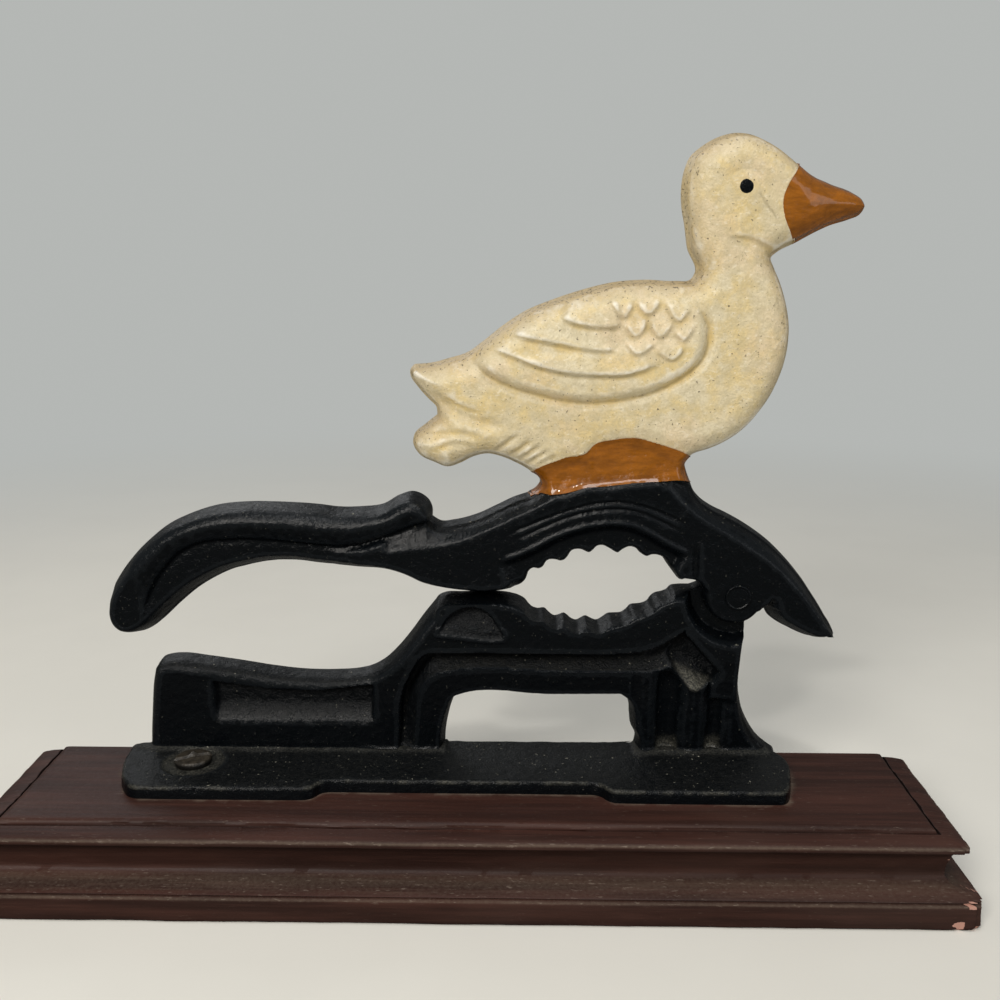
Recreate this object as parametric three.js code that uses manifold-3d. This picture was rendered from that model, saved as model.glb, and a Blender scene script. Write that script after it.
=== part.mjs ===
// Lever nutcracker press: a cast-iron lever nutcracker with a goose on its lever,
// fixed along the back edge of a moulded wooden plinth.
// Millimetres. +X runs to the right, +Y away from the front, +Z up. The origin is the
// middle of the plinth's underside.

import * as THREE from 'three';
import { mergeVertices } from 'three/addons/utils/BufferGeometryUtils.js';
import Module from 'manifold-3d';

const wasm = await Module();
wasm.setup();

// Driving dimensions: the plinth
const plinthLength = 254;
const plinthDepth = 51;
const baseFaceHeight = 6.1;
const baseProjection = 3;
const grooveHeight = 0.8;
const grooveDepth = 0.8;
const flareHeight = 3;
const coveHeight = 9.6;
const coveDepth = 4.3;
const nosingThickness = 1.5;
const nosingRound = 0.5;
const panelLip = 1;
const panelInset = 6;

// Driving dimensions: the foot plate of the lower casting
const plateThickness = 3.5;
const plateDepth = 29.7;
const plateLeftMargin = 3.7;
const plateRightMargin = 17.5;
const padLength = 54;
const waistSetback = 4.5;
const plateCornerRadius = 8;
const padCornerRadius = 3.5;
const plateEdgeRound = 0.8;
const castingSetback = 0.5;

// Driving dimensions: the lower casting, measured from the pin and from the plate's top
const pinOffset = 72;
const pinHeight = 46.3;
const restLength = 83;
const restHeight = 25.7;
const restThickness = 7.2;
const postHeight = 44.5;
const postTopLength = 19;
const jawThickness = 10.2;
const mouthLength = 46;
const mouthToPin = 13;
const lowerJawHeight = 47.2;
const lowerJawSag = 8.2;
const jawSkew = 0.35;
const windowLength = 53;
const windowHeight = 16.8;
const windowToPin = 25.6;
const windowRim = 5;
const channelWidth = 8;
const channelFloor = 4.4;
const shoulderStepHeight = 16;
const recessPeak = 34.4;
const restPocketFloor = 4.2;
const halfMoonRadius = 8.8;
const halfMoonDepth = 1.6;
const fluteRadius = 1.7;
const fluteHeight = 16;
const fluteFoot = 3.6;
const neckOffset = 2.8;
const neckFlare = 9.6;
const neckFlareHeight = 19;
const castRound = 1.6;
const castDraft = 1.5;

// Driving dimensions: the pivot
const tongueThickness = 4.7;
const tongueRadius = 6.8;
const pivotGap = 0.3;
const lugRadius = 8.2;
const lugOffset = 0.8;
const lugProud = 0.5;
const pocketRadius = 11.7;
const rivetRadius = 2.9;
const rivetHeadRadius = 3.4;
const rivetHeadDepth = 0.9;
const rivetTailRadius = 5;
const rivetTailDepth = 2.2;
const rivetProud = 0.2;

// Driving dimensions: the lever, measured from the pin and from the plate's top
const restGap = 0.4;
const handleReach = 92.5;
const handleCrest = 24.7;
const handleDroop = 12.5;
const handleGrooveWidth = 1.4;
const handleGrooveDepth = 0.9;
const upperJawGap = 1.3;
const upperJawRise = 8.2;
const jawStripWidth = 5;
const jawStripThickness = 6.4;
const leverCrest = 31;
const leverThickness = 10.2;
const leverRound = 4.6;
const leverDraft = 2.4;
const archGrooveWidth = 2.4;
const archGrooveDepth = 1.3;
const tailReach = 27.9;
const tailDrop = 14.3;
const toothCount = 8;
const toothDepth = 1.1;
const toothThickness = 8.6;

// Driving dimensions: the goose
const gooseLength = 116;
const gooseHeight = 92.5;
const gooseReach = 87.4;
const gooseEdgeThickness = 6.6;
const gooseEdgeRound = 3.4;
const gooseEdgeDraft = 2.2;
const gooseFront = 10;
const wingFront = 10.6;
const wingRound = 1.6;
const wingDraft = 1.4;
const eyeRadius = 2.2;
const eyeProud = 0.4;

// Driving dimensions: the screws
const screwShankRadius = 2.2;
const screwHeadRadius = 5.3;
const screwHeadHeight = 2.4;
const screwSlotWidth = 1.3;
const screwSlotDepth = 1.1;
const screwLength = 18;
const screwGap = 0.3;
const screwInset = 17.6;
const screwSetback = 14.6;
const spotFaceRadius = 8.7;
const spotFaceDepth = 0.5;
const underHeadRadius = 4.6;
const underHeadHeight = 2.6;
const underHeadRecess = 1;
const underScrewReach = 2.5;
const underScrewOffset = 8;
const underScrewSetback = 7.5;

// One overrun serves all cuts, and the counts set how finely round shapes are stepped
const cutOverrun = 5;
const circleSteps = 32;
const curveSteps = 4;
const bevelSteps = 3;
const mitreLimit = 1.5;
const insetRoom = 0.75;

// Levels and places worked out from the driving dimensions
const shoulderHeight = baseFaceHeight + grooveHeight + flareHeight + coveHeight + nosingThickness;
const plinthTop = shoulderHeight + panelLip;
const plateTop = plinthTop + plateThickness;
const backPlane = plinthDepth / 2 - castingSetback;
const pinX = pinOffset;
const mouthRight = -mouthToPin;
const mouthLeft = mouthRight - mouthLength;
const postLeft = mouthLeft - postTopLength;
const frameLeft = postLeft - restLength;
const windowRight = -windowToPin;
const windowLeft = windowRight - windowLength;
const plateLeft = frameLeft - plateLeftMargin;
const plateRight = plateRightMargin;
const leverRest = postHeight + restGap;
const leverTop = leverRest + leverCrest;
const upperJawHeight = lowerJawHeight + upperJawGap;
const handleLeft = postLeft - handleReach;
const gooseLeft = -gooseReach;
const gooseBottom = leverTop - leverCrest / 9;
const castingFront = jawThickness + lugProud;
const screwX = pinX + plateLeft + screwInset;
const screwY = backPlane - screwSetback;
const underScrewX = pinX - underScrewOffset;
const underScrewY = backPlane - underScrewSetback;
const underScrewTop = plinthTop + underScrewReach;

const materials = {
  wood: { color: 0x4a2f2b, roughness: 0.62, metalness: 0 },
  blackIron: { color: 0x16181a, roughness: 0.42, metalness: 0.25 },
  creamPaint: { color: 0xe0d4b8, roughness: 0.5, metalness: 0 },
  orangePaint: { color: 0xb4661f, roughness: 0.32, metalness: 0 },
  screwSteel: { color: 0x3a342c, roughness: 0.6, metalness: 0.7 },
};

function point(x, z) {
  return new THREE.Vector2(x, z);
}

// Shares of a width and a height, set out from a corner
function fromShares(shares, left, bottom, width, height) {
  return shares.map(([across, up]) => point(left + across * width, bottom + up * height));
}

// A smooth run through the given points
function smooth(points) {
  return new THREE.SplineCurve(points).getPoints((points.length - 1) * curveSteps);
}

function arc(centre, radius, from, to, steps) {
  const points = [];
  for (let i = 0; i <= steps; i += 1) {
    const angle = from + ((to - from) * i) / steps;
    points.push(point(centre.x + radius * Math.cos(angle), centre.y + radius * Math.sin(angle)));
  }
  return points;
}

// A jaw's edge: a bow between two points, hollow below the chord or raised above it, fuller
// at its start by the given skew, with pointed teeth of the given depth along it
function bowedEdge(start, end, bow, skew, teeth, depth) {
  const points = [];
  const steps = 2 * teeth;
  for (let i = 0; i <= steps; i += 1) {
    const t = i / steps;
    const tooth = i % 2 === 0 ? 0 : depth;
    const rise = 4 * bow * t * (1 - t) * (1 + skew * (1 - 2 * t)) + tooth;
    points.push(point(start.x + (end.x - start.x) * t, start.y + (end.y - start.y) * t + rise));
  }
  return points;
}

// Joins runs into one outline, taken anticlockwise, without points that follow too closely
function outline(...runs) {
  const points = runs.flat();
  const least = nosingRound / 10;
  const last = points.length - 1;
  const spaced = points.filter((p, i) => p.distanceTo(points[i > 0 ? i - 1 : last]) > least);
  return THREE.ShapeUtils.isClockWise(spaced) ? spaced.reverse() : spaced;
}

// Fills a flat outline with triangles by clipping its ears, the fullest first
function clipEars(points) {
  const turn = (a, b, c) => (b.x - a.x) * (c.y - a.y) - (b.y - a.y) * (c.x - a.x);
  const holds = (a, b, c, p) => turn(a, b, p) >= 0 && turn(b, c, p) >= 0 && turn(c, a, p) >= 0;
  const remaining = points.map((_, i) => i);
  const triangles = [];
  while (remaining.length > 2) {
    const count = remaining.length;
    let best = 0;
    let bestFullness = -Infinity;
    for (let i = 0; i < count; i += 1) {
      const [a, b, c] = [-1, 0, 1].map((step) => points[remaining[(i + step + count) % count]]);
      const others = remaining.filter((k) => points[k] !== a && points[k] !== b && points[k] !== c);
      const area = turn(a, b, c);
      const longest = Math.max(a.distanceToSquared(b), b.distanceToSquared(c), c.distanceToSquared(a));
      const blocked = area <= 0 || others.some((k) => holds(a, b, c, points[k]));
      const fullness = blocked ? -1 - Math.abs(area) / longest : area / longest;
      if (fullness > bestFullness) {
        best = i;
        bestFullness = fullness;
      }
    }
    triangles.push([-1, 0, 1].map((step) => remaining[(best + step + count) % count]));
    remaining.splice(best, 1);
  }
  return triangles;
}

// Moves an outline inwards, but nowhere past most of the way to the shape's middle line: the
// largest circle that touches the outline at a point from inside bounds that point's move
function inset(points, amount) {
  const count = points.length;
  return points.map((p, i) => {
    const before = p.clone().sub(points[(i + count - 1) % count]).normalize();
    const after = points[(i + 1) % count].clone().sub(p).normalize();
    const along = before.clone().add(after).normalize();
    const inward = point(-along.y, along.x);
    const mitre = Math.min(1 / Math.max(along.dot(after), 1 / mitreLimit), mitreLimit);
    let room = Infinity;
    for (const q of points) {
      const reach = q.clone().sub(p);
      const depth = reach.dot(inward);
      if (depth > 0) room = Math.min(room, reach.lengthSq() / (2 * depth));
    }
    return p.clone().addScaledVector(inward, Math.min(amount * mitre, insetRoom * room));
  });
}

// A solid whose outline steps inwards from ring to ring, each ring a depth and an inset
function ringed(points, rings) {
  const count = points.length;
  const loops = rings.map(([, amount]) => inset(points, amount));
  const positions = loops.flatMap((loop, k) => loop.flatMap((p) => [p.x, p.y, rings[k][0]]));
  const index = [];
  for (const [a, b, c] of clipEars(loops[0])) index.push(a, c, b);
  for (let ring = 0; ring < rings.length - 1; ring += 1) {
    for (let i = 0; i < count; i += 1) {
      const a = ring * count + i;
      const b = ring * count + ((i + 1) % count);
      index.push(a, b, b + count, a, b + count, a + count);
    }
  }
  const top = (rings.length - 1) * count;
  for (const [a, b, c] of clipEars(loops[rings.length - 1])) index.push(top + a, top + b, top + c);
  const geometry = new THREE.BufferGeometry();
  geometry.setAttribute('position', new THREE.Float32BufferAttribute(positions, 3));
  geometry.setIndex(index);
  return geometry;
}

function toSolid(geometry) {
  const bare = geometry.clone();
  bare.deleteAttribute('normal');
  bare.deleteAttribute('uv');
  const merged = mergeVertices(bare, grooveHeight / 1000);
  return new wasm.Manifold(new wasm.Mesh({
    numProp: 3,
    vertProperties: new Float32Array(merged.attributes.position.array),
    triVerts: new Uint32Array(merged.index.array),
  }));
}

function toMesh(name, solid, look) {
  const mesh = solid.getMesh();
  const geometry = new THREE.BufferGeometry();
  geometry.setAttribute('position', new THREE.BufferAttribute(mesh.vertProperties, 3));
  geometry.setIndex(new THREE.BufferAttribute(mesh.triVerts, 1));
  geometry.computeVertexNormals();
  const piece = new THREE.Mesh(geometry, new THREE.MeshStandardMaterial(look));
  piece.name = name;
  return piece;
}

function joined(solids) {
  return solids.reduce((whole, solid) => whole.add(solid));
}

// An outline drawn across and up, measured from the pin and the plate's top, standing on the
// castings' back plane between two distances in front of it
function slab(points, from, to) {
  return standOnBack(ringed(outline(points), [[from, 0], [to, 0]]));
}

function standOnBack(geometry) {
  geometry.rotateX(Math.PI / 2);
  geometry.translate(pinX, backPlane, plateTop);
  return toSolid(geometry);
}

// The same, from the back plane, with its front edge rounded over
function roundedSlab(points, thickness, round, draft) {
  const rings = [[0, 0]];
  for (let i = 0; i <= bevelSteps; i += 1) {
    const turn = ((Math.PI / 2) * i) / bevelSteps;
    rings.push([thickness - round * (1 - Math.sin(turn)), draft * (1 - Math.cos(turn))]);
  }
  return standOnBack(ringed(points, rings));
}

// A round bar across the casting, between two distances in front of the back plane
function bar(centre, fromRadius, toRadius, from, to) {
  const geometry = new THREE.CylinderGeometry(toRadius, fromRadius, to - from, circleSteps);
  geometry.rotateX(Math.PI / 2);
  geometry.translate(centre.x, centre.y, (from + to) / 2);
  return standOnBack(geometry);
}

// A round swelling on the casting's front, squashed to the given half sizes
function swelling(centre, halfWidth, halfHeight, base, front) {
  const geometry = new THREE.SphereGeometry(1, circleSteps, circleSteps / 2);
  geometry.scale(halfWidth, halfHeight, front - base);
  geometry.translate(centre.x, centre.y, base);
  return standOnBack(geometry);
}

// An upright round bar in the plinth's frame
function uprightBar(x, y, radius, bottom, top) {
  return turned(x, y, [point(radius, bottom), point(radius, top)]);
}

// A solid turned about an upright line, from a profile of radii and heights
function turned(x, y, profile) {
  const ends = [point(0, profile[0].y), ...profile, point(0, profile[profile.length - 1].y)];
  const geometry = new THREE.LatheGeometry(ends, circleSteps);
  geometry.rotateX(Math.PI / 2);
  geometry.translate(x, y, 0);
  return toSolid(geometry);
}

// A band of even width along an open line, as an outline
function band(line, width) {
  const offset = (side) => line.map((p, i) => {
    const before = line[Math.max(i - 1, 0)];
    const after = line[Math.min(i + 1, line.length - 1)];
    const along = after.clone().sub(before).normalize();
    return point(p.x - side * along.y * width / 2, p.y + side * along.x * width / 2);
  });
  return [...offset(1), ...offset(-1).reverse()];
}

// The plinth: its moulding runs round the front and both ends, and its back is flat
function plinthProfile() {
  const groove = baseProjection - grooveDepth;
  const coveBottom = baseFaceHeight + grooveHeight + flareHeight;
  const coveTop = coveBottom + coveHeight;
  const profile = [
    [baseProjection, 0],
    [baseProjection, baseFaceHeight],
    [groove, baseFaceHeight + grooveHeight / 2],
    [groove, baseFaceHeight + grooveHeight],
  ];
  const flareSteps = 2 * curveSteps;
  for (let i = 1; i <= flareSteps; i += 1) {
    const turn = (Math.PI * i) / flareSteps;
    const t = i / flareSteps;
    profile.push([
      groove - ((groove + coveDepth) * (1 - Math.cos(turn))) / 2,
      baseFaceHeight + grooveHeight + flareHeight * t,
    ]);
  }
  for (let i = 1; i <= flareSteps; i += 1) {
    const turn = (Math.PI / 2) * (i / flareSteps);
    profile.push([
      -coveDepth + (coveDepth - nosingRound) * (1 - Math.cos(turn)),
      coveBottom + coveHeight * Math.sin(turn),
    ]);
  }
  profile.push([0, coveTop + nosingRound]);
  profile.push([0, shoulderHeight - nosingRound]);
  profile.push([-nosingRound, shoulderHeight]);
  profile.push([-panelInset, shoulderHeight]);
  profile.push([-panelInset, plinthTop]);
  return profile;
}

function plinthSolid() {
  const shoulderHalf = plinthLength / 2 - baseProjection;
  const shoulderFront = -plinthDepth / 2 + baseProjection;
  const back = plinthDepth / 2;
  const profile = plinthProfile();
  const positions = [];
  for (const [outset, height] of profile) {
    const half = shoulderHalf + outset;
    const front = shoulderFront - outset;
    positions.push(-half, front, height, half, front, height, half, back, height, -half, back, height);
  }
  const index = [0, 2, 1, 0, 3, 2];
  for (let ring = 0; ring < profile.length - 1; ring += 1) {
    for (let side = 0; side < 4; side += 1) {
      const a = 4 * ring + side;
      const b = 4 * ring + ((side + 1) % 4);
      index.push(a, b, b + 4, a, b + 4, a + 4);
    }
  }
  const last = 4 * (profile.length - 1);
  index.push(last, last + 1, last + 2, last, last + 2, last + 3);
  const geometry = new THREE.BufferGeometry();
  geometry.setAttribute('position', new THREE.Float32BufferAttribute(positions, 3));
  geometry.setIndex(index);
  return toSolid(geometry);
}

// The hole for the screw from below: its countersink, and its shank up to the given height
function underHole(top) {
  const shank = screwShankRadius + screwGap;
  const head = underHeadRadius + screwGap;
  return turned(underScrewX, underScrewY, [
    point(head, -cutOverrun),
    point(head, underHeadRecess - screwGap),
    point(shank, underHeadRecess + underHeadHeight + screwGap),
    point(shank, top),
  ]);
}

function plateScrewHole() {
  const bottom = plateTop - screwLength - screwGap;
  return uprightBar(screwX, screwY, screwShankRadius + screwGap, bottom, plateTop + cutOverrun);
}

function plinthBoard() {
  return plinthSolid().subtract(plateScrewHole()).subtract(underHole(underScrewTop + screwGap));
}

// The foot plate: two pads at the front with a waist between them, seen from above
function footPlate() {
  const front = backPlane - plateDepth;
  const waist = front + waistSetback;
  const left = pinX + plateLeft;
  const right = pinX + plateRight;
  const leftPadEnd = left + padLength;
  const rightPadStart = right - padLength;
  const big = plateCornerRadius;
  const small = padCornerRadius;
  const quarter = Math.PI / 2;
  const plan = outline(
    arc(point(left + small, front + small), small, 2 * quarter, 3 * quarter, curveSteps),
    [point(leftPadEnd - waistSetback / 2, front), point(leftPadEnd, waist)],
    [point(rightPadStart, waist), point(rightPadStart + waistSetback / 2, front)],
    arc(point(right - small, front + small), small, 3 * quarter, 4 * quarter, curveSteps),
    arc(point(right - big, backPlane - big), big, 0, quarter, curveSteps),
    arc(point(left + big, backPlane - big), big, quarter, 2 * quarter, curveSteps),
  );
  const geometry = ringed(plan, [
    [plinthTop, 0],
    [plateTop - plateEdgeRound, 0],
    [plateTop - plateEdgeRound / 4, plateEdgeRound / 4],
    [plateTop, plateEdgeRound],
  ]);
  return toSolid(geometry);
}

// The lower casting's outline: shares of the rest's length with the rest's or the post's height
const restShares = [
  [0.02, 0.6],
  [0.034, 0.86],
  [0.075, 0.985],
  [0.15, 1],
  [0.31, 0.93],
  [0.53, 0.83],
  [0.7, 0.83],
  [0.79, 0.92],
];
const postRiseShares = [
  [0.85, 0.635],
  [0.935, 0.855],
  [1, 1],
];
const windowShares = [
  [0, 0],
  [0.012, 0.42],
  [0.045, 0.68],
  [0.085, 1],
  [0.92, 1],
  [0.965, 0.85],
  [0.97, 0.5],
  [1, 0.18],
  [1, 0],
];
const restPocketShares = [
  [0.22, 0.77],
  [0.39, 0.69],
  [0.56, 0.665],
  [0.75, 0.74],
  [0.745, 0.31],
  [0.25, 0.3],
];

function postRise() {
  return fromShares(postRiseShares, frameLeft, 0, restLength, postHeight);
}

function restEdge() {
  const rest = fromShares(restShares, frameLeft, 0, restLength, restHeight);
  return smooth([...rest, ...postRise()]);
}

// The neck's right edge, from the pin down to its flared foot
function neckEdge() {
  const flare = [];
  for (let i = 0; i < 2 * curveSteps; i += 1) {
    const turn = ((Math.PI / 2) * i) / (2 * curveSteps);
    flare.push(point(
      neckOffset + neckFlare * (1 - Math.cos(turn)),
      neckFlareHeight * (1 - Math.sin(turn)),
    ));
  }
  return [point(0, pinHeight), point(neckOffset, pinHeight - tongueRadius / 2), ...flare];
}

function lowerJawEdge(depth) {
  const start = point(mouthLeft, postHeight);
  const end = point(mouthRight, lowerJawHeight);
  return bowedEdge(start, end, -lowerJawSag - toothDepth, jawSkew, toothCount, depth);
}

function frameOutline() {
  const foot = -plateThickness / 2;
  return outline(
    [point(frameLeft, foot)],
    restEdge(),
    lowerJawEdge(0),
    neckEdge(),
    [point(neckOffset + neckFlare, foot)],
  );
}

// The thick upper part of the lower casting: post, jaw and neck, down to the channel's edge
function upperOutline() {
  const channelTop = windowHeight + windowRim + channelWidth;
  const corner = point(windowLeft - windowRim - channelWidth, channelTop - channelWidth);
  return outline(
    smooth([corner, ...postRise()]),
    lowerJawEdge(0),
    [point(0, pinHeight), point(neckOffset, pinHeight - tongueRadius / 2)],
    [point(neckOffset, shoulderStepHeight), point(-tongueRadius, shoulderStepHeight)],
    [point(-neckOffset, channelTop - windowRim)],
    [point(mouthRight - neckOffset, recessPeak), point(windowRight, channelTop)],
    [point(windowLeft - windowRim, channelTop)],
  );
}

function lowerTeeth() {
  const teeth = lowerJawEdge(toothDepth);
  const below = lowerJawHeight - 2 * lowerJawSag;
  return slab([...teeth, point(mouthRight, below), point(mouthLeft, below)], 0, toothThickness);
}

// Cuts from the casting's front that leave the channel, the recess beside it and the legs' flutes
function channelCut() {
  const top = windowHeight + windowRim + channelWidth;
  const left = windowLeft - windowRim - channelWidth;
  const shape = [
    point(left, 0),
    point(left, top - channelWidth),
    point(windowLeft - windowRim, top + castRound),
    point(windowRight, top + castRound),
    point(mouthRight - neckOffset, recessPeak + castRound),
    point(-neckOffset, top - windowRim),
    point(mouthRight + neckOffset, windowHeight + neckOffset),
    point(windowRight, windowHeight + windowRim),
    point(windowLeft, windowHeight + windowRim),
    point(windowLeft - windowRim, windowHeight),
    point(windowLeft - windowRim, 0),
  ];
  return slab(shape, channelFloor, jawThickness + cutOverrun);
}

// Three upright flutes with round ends beside the window, the outer one shorter
function fluteCuts() {
  const places = [
    [windowRight + 2 * windowRim - fluteRadius, fluteHeight],
    [mouthRight + fluteRadius / 2, fluteHeight],
    [-neckOffset - fluteRadius, fluteHeight - windowRim],
  ];
  return joined(places.map(([x, height]) => {
    const bottom = arc(point(x, fluteFoot + fluteRadius), fluteRadius, Math.PI, 2 * Math.PI, curveSteps);
    const top = arc(point(x, fluteFoot + height), fluteRadius, 0, Math.PI, curveSteps);
    return slab([...bottom, ...top], channelFloor, jawThickness + cutOverrun);
  }));
}

function halfMoonCut() {
  const centre = point(mouthLeft - postTopLength / 2 - toothDepth, postHeight - halfMoonRadius);
  const moon = arc(centre, halfMoonRadius, 0, Math.PI, circleSteps / 2);
  return slab(moon, jawThickness - halfMoonDepth, jawThickness + cutOverrun);
}

const pin = point(0, pinHeight);

function baseCasting() {
  const seat = plateTop - spotFaceDepth;
  const spotFace = uprightBar(screwX, screwY, spotFaceRadius, seat, plateTop + cutOverrun);
  const beyond = jawThickness + cutOverrun;
  const windowShape = fromShares(windowShares, windowLeft, 0, windowLength, windowHeight);
  const pocketShape = fromShares(restPocketShares, frameLeft, 0, restLength, restHeight);
  const rivetHole = rivetRadius + pivotGap;
  const wall = roundedSlab(frameOutline(), restThickness, castRound, castDraft)
    .subtract(channelCut())
    .subtract(slab(pocketShape, restPocketFloor, beyond))
    .subtract(fluteCuts());
  const upper = roundedSlab(upperOutline(), jawThickness, castRound, castDraft).subtract(halfMoonCut());
  return joined([wall, upper, lowerTeeth()])
    .subtract(slab(windowShape, -cutOverrun, beyond))
    .subtract(bar(pin, pocketRadius, pocketRadius, tongueThickness, beyond))
    .add(bar(pin, tongueRadius, tongueRadius, 0, tongueThickness))
    .add(footPlate().subtract(spotFace))
    .subtract(bar(pin, rivetHole, rivetHole, -cutOverrun, beyond))
    .subtract(bar(pin, rivetTailRadius + pivotGap, rivetHole, 0, rivetTailDepth))
    .subtract(plateScrewHole())
    .subtract(underHole(underScrewTop + screwGap));
}

// The lever's outline. The handle's shares are of its reach with its crest or its droop.
const handleTopShares = [
  [0, -0.07],
  [0.04, 0.25],
  [0.11, 0.547],
  [0.18, 0.757],
  [0.326, 0.964],
  [0.45, 1.005],
  [0.62, 0.976],
  [0.72, 0.945],
  [0.814, 0.984],
  [0.865, 1.09],
  [0.904, 1.125],
  [0.94, 1.06],
  [0.955, 0.9],
];
const leverBackShares = [
  [0.028, 0.642],
  [0.108, 0.7],
  [0.178, 0.79],
  [0.233, 0.855],
  [0.292, 0.894],
  [0.54, 0.97],
  [0.838, 1],
];
const tailTopShares = [
  [-0.42, 0.93],
  [-0.348, 0.845],
  [-0.1, 0.716],
  [0.18, 0.557],
  [0.323, 0.473],
  [0.466, 0.321],
  [0.613, 0.176],
  [0.763, -0.024],
];
const tailBottomShares = [
  [0.903, -0.455],
  [1, -0.755],
  [0.975, -0.875],
  [0.896, -0.98],
  [0.8, -1],
  [0.57, -0.81],
  [0.344, -0.58],
  [0.315, -0.2],
];
const handleDroopShares = [
  [0, -0.67],
  [0.038, -0.976],
  [0.089, -1],
  [0.135, -0.712],
  [0.197, -0.336],
];
const handleUnderShares = [
  [0.27, 0.077],
  [0.405, 0.267],
  [0.48, 0.328],
  [0.547, 0.34],
  [0.62, 0.3],
  [0.728, 0.255],
  [0.833, 0.227],
  [0.878, 0.174],
  [0.922, 0.085],
];
const handleGrooveShares = [
  [0.126, -0.01],
  [0.16, 0.16],
  [0.25, 0.5],
  [0.345, 0.6],
  [0.5, 0.62],
  [0.66, 0.567],
  [0.753, 0.59],
  [0.85, 0.704],
];
const archGrooveShares = [
  [0.19, 0.555],
  [0.335, 0.697],
  [0.447, 0.794],
  [0.578, 0.835],
  [0.687, 0.797],
  [0.83, 0.652],
];

function archEdge(bow, depth) {
  const start = point(mouthLeft + jawStripWidth / 2, leverRest + jawStripWidth);
  const end = point(mouthRight, upperJawHeight);
  return bowedEdge(start, end, bow, 0, toothCount, depth);
}

function leverOutline() {
  const top = fromShares(handleTopShares, handleLeft, leverRest, handleReach, handleCrest);
  const back = fromShares(leverBackShares, postLeft, leverRest, -postLeft, leverCrest);
  const tailTop = fromShares(tailTopShares, 0, pinHeight, tailReach, leverTop - pinHeight);
  const tailBottom = fromShares(tailBottomShares, 0, pinHeight, tailReach, tailDrop);
  const droop = fromShares(handleDroopShares, handleLeft, leverRest, handleReach, handleDroop);
  const under = fromShares(handleUnderShares, handleLeft, leverRest, handleReach, handleCrest);
  return outline(
    smooth(top),
    smooth(back),
    smooth([...tailTop, ...tailBottom.slice(0, 2)]),
    tailBottom.slice(2),
    [point(0, pinHeight - rivetRadius), point(-tongueRadius / 2, pinHeight)],
    [point(-lugRadius, upperJawHeight)],
    archEdge(upperJawRise + jawStripWidth, 0).reverse(),
    [point(mouthLeft, leverRest), point(postLeft, leverRest)],
    smooth([...droop, ...under]).reverse(),
  );
}

function upperTeeth() {
  const strip = archEdge(upperJawRise + 2 * jawStripWidth, 0);
  const teeth = archEdge(upperJawRise, -toothDepth).reverse();
  return slab(outline(strip, teeth), 0, jawStripThickness);
}

// The goose's outline and its paint lines, as shares of its box
const gooseBackShares = [
  [0, 0.35],
  [0.012, 0.378],
  [0.089, 0.39],
  [0.13, 0.404],
  [0.209, 0.483],
  [0.324, 0.556],
  [0.459, 0.603],
  [0.596, 0.607],
  [0.641, 0.614],
];
const gooseNeckShares = [
  [0.635, 0.628],
  [0.611, 0.756],
  [0.601, 0.851],
  [0.618, 0.938],
  [0.672, 0.987],
  [0.713, 1],
  [0.746, 0.997],
  [0.805, 0.963],
  [0.853, 0.918],
];
const gooseBeakShares = [
  [0.878, 0.893],
  [0.972, 0.843],
  [0.997, 0.82],
  [1, 0.803],
  [0.993, 0.787],
  [0.93, 0.759],
  [0.876, 0.724],
  [0.819, 0.686],
];
const gooseBreastShares = [
  [0.804, 0.664],
  [0.81, 0.645],
  [0.839, 0.561],
  [0.852, 0.477],
  [0.847, 0.39],
  [0.829, 0.316],
  [0.766, 0.192],
  [0.671, 0.125],
  [0.643, 0.11],
];
const gooseFootShares = [
  [0.631, 0.088],
  [0.634, 0.066],
  [0.65, 0.02],
  [0.6, -0.06],
  [0.3, -0.06],
  [0.25, -0.01],
  [0.278, 0.004],
  [0.297, 0.018],
  [0.299, 0.037],
];
const gooseTailShares = [
  [0.287, 0.054],
  [0.242, 0.089],
  [0.209, 0.106],
  [0.178, 0.115],
  [0.142, 0.105],
  [0.115, 0.088],
  [0.084, 0.076],
  [0.053, 0.086],
  [0.019, 0.111],
  [0.004, 0.145],
  [0.009, 0.173],
  [0.034, 0.202],
  [0.062, 0.229],
  [0.06, 0.25],
  [0.044, 0.27],
  [0.018, 0.307],
];
const wingShares = [
  [0.142, 0.387],
  [0.232, 0.321],
  [0.302, 0.291],
  [0.368, 0.28],
  [0.437, 0.283],
  [0.505, 0.295],
  [0.571, 0.325],
  [0.624, 0.362],
  [0.653, 0.416],
  [0.658, 0.474],
  [0.646, 0.522],
  [0.62, 0.56],
  [0.5, 0.578],
  [0.36, 0.55],
  [0.24, 0.49],
];
const moundLineShares = [
  [0.22, 0.018],
  [0.322, 0.018],
  [0.443, 0.04],
  [0.7, 0.054],
];
const bellyLineShares = [
  [0.7, 0.104],
  [0.643, 0.13],
  [0.589, 0.149],
  [0.508, 0.177],
  [0.422, 0.16],
  [0.409, 0.139],
  [0.361, 0.122],
  [0.284, 0.081],
  [0.22, 0.04],
];
const beakLineShares = [
  [0.845, 1],
  [0.832, 0.902],
  [0.808, 0.83],
  [0.81, 0.799],
  [0.82, 0.763],
  [0.836, 0.732],
  [0.84, 0.66],
];
const bodySwellShares = [0.46, 0.345, 0.33, 0.21];
const breastSwellShares = [0.735, 0.42, 0.105, 0.29];
const headSwellShares = [0.715, 0.85, 0.105, 0.135];
const beakSwellShares = [0.87, 0.81, 0.11, 0.075];
const moundSwellShares = [0.46, 0.07, 0.15, 0.1];
const eyeShares = [0.731, 0.855];

function gooseShape(shares) {
  return fromShares(shares, gooseLeft, gooseBottom, gooseLength, gooseHeight);
}

function gooseSwelling([across, up, halfAcross, halfUp]) {
  const [centre] = gooseShape([[across, up]]);
  return swelling(centre, halfAcross * gooseLength, halfUp * gooseHeight, gooseEdgeRound, gooseFront);
}

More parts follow.
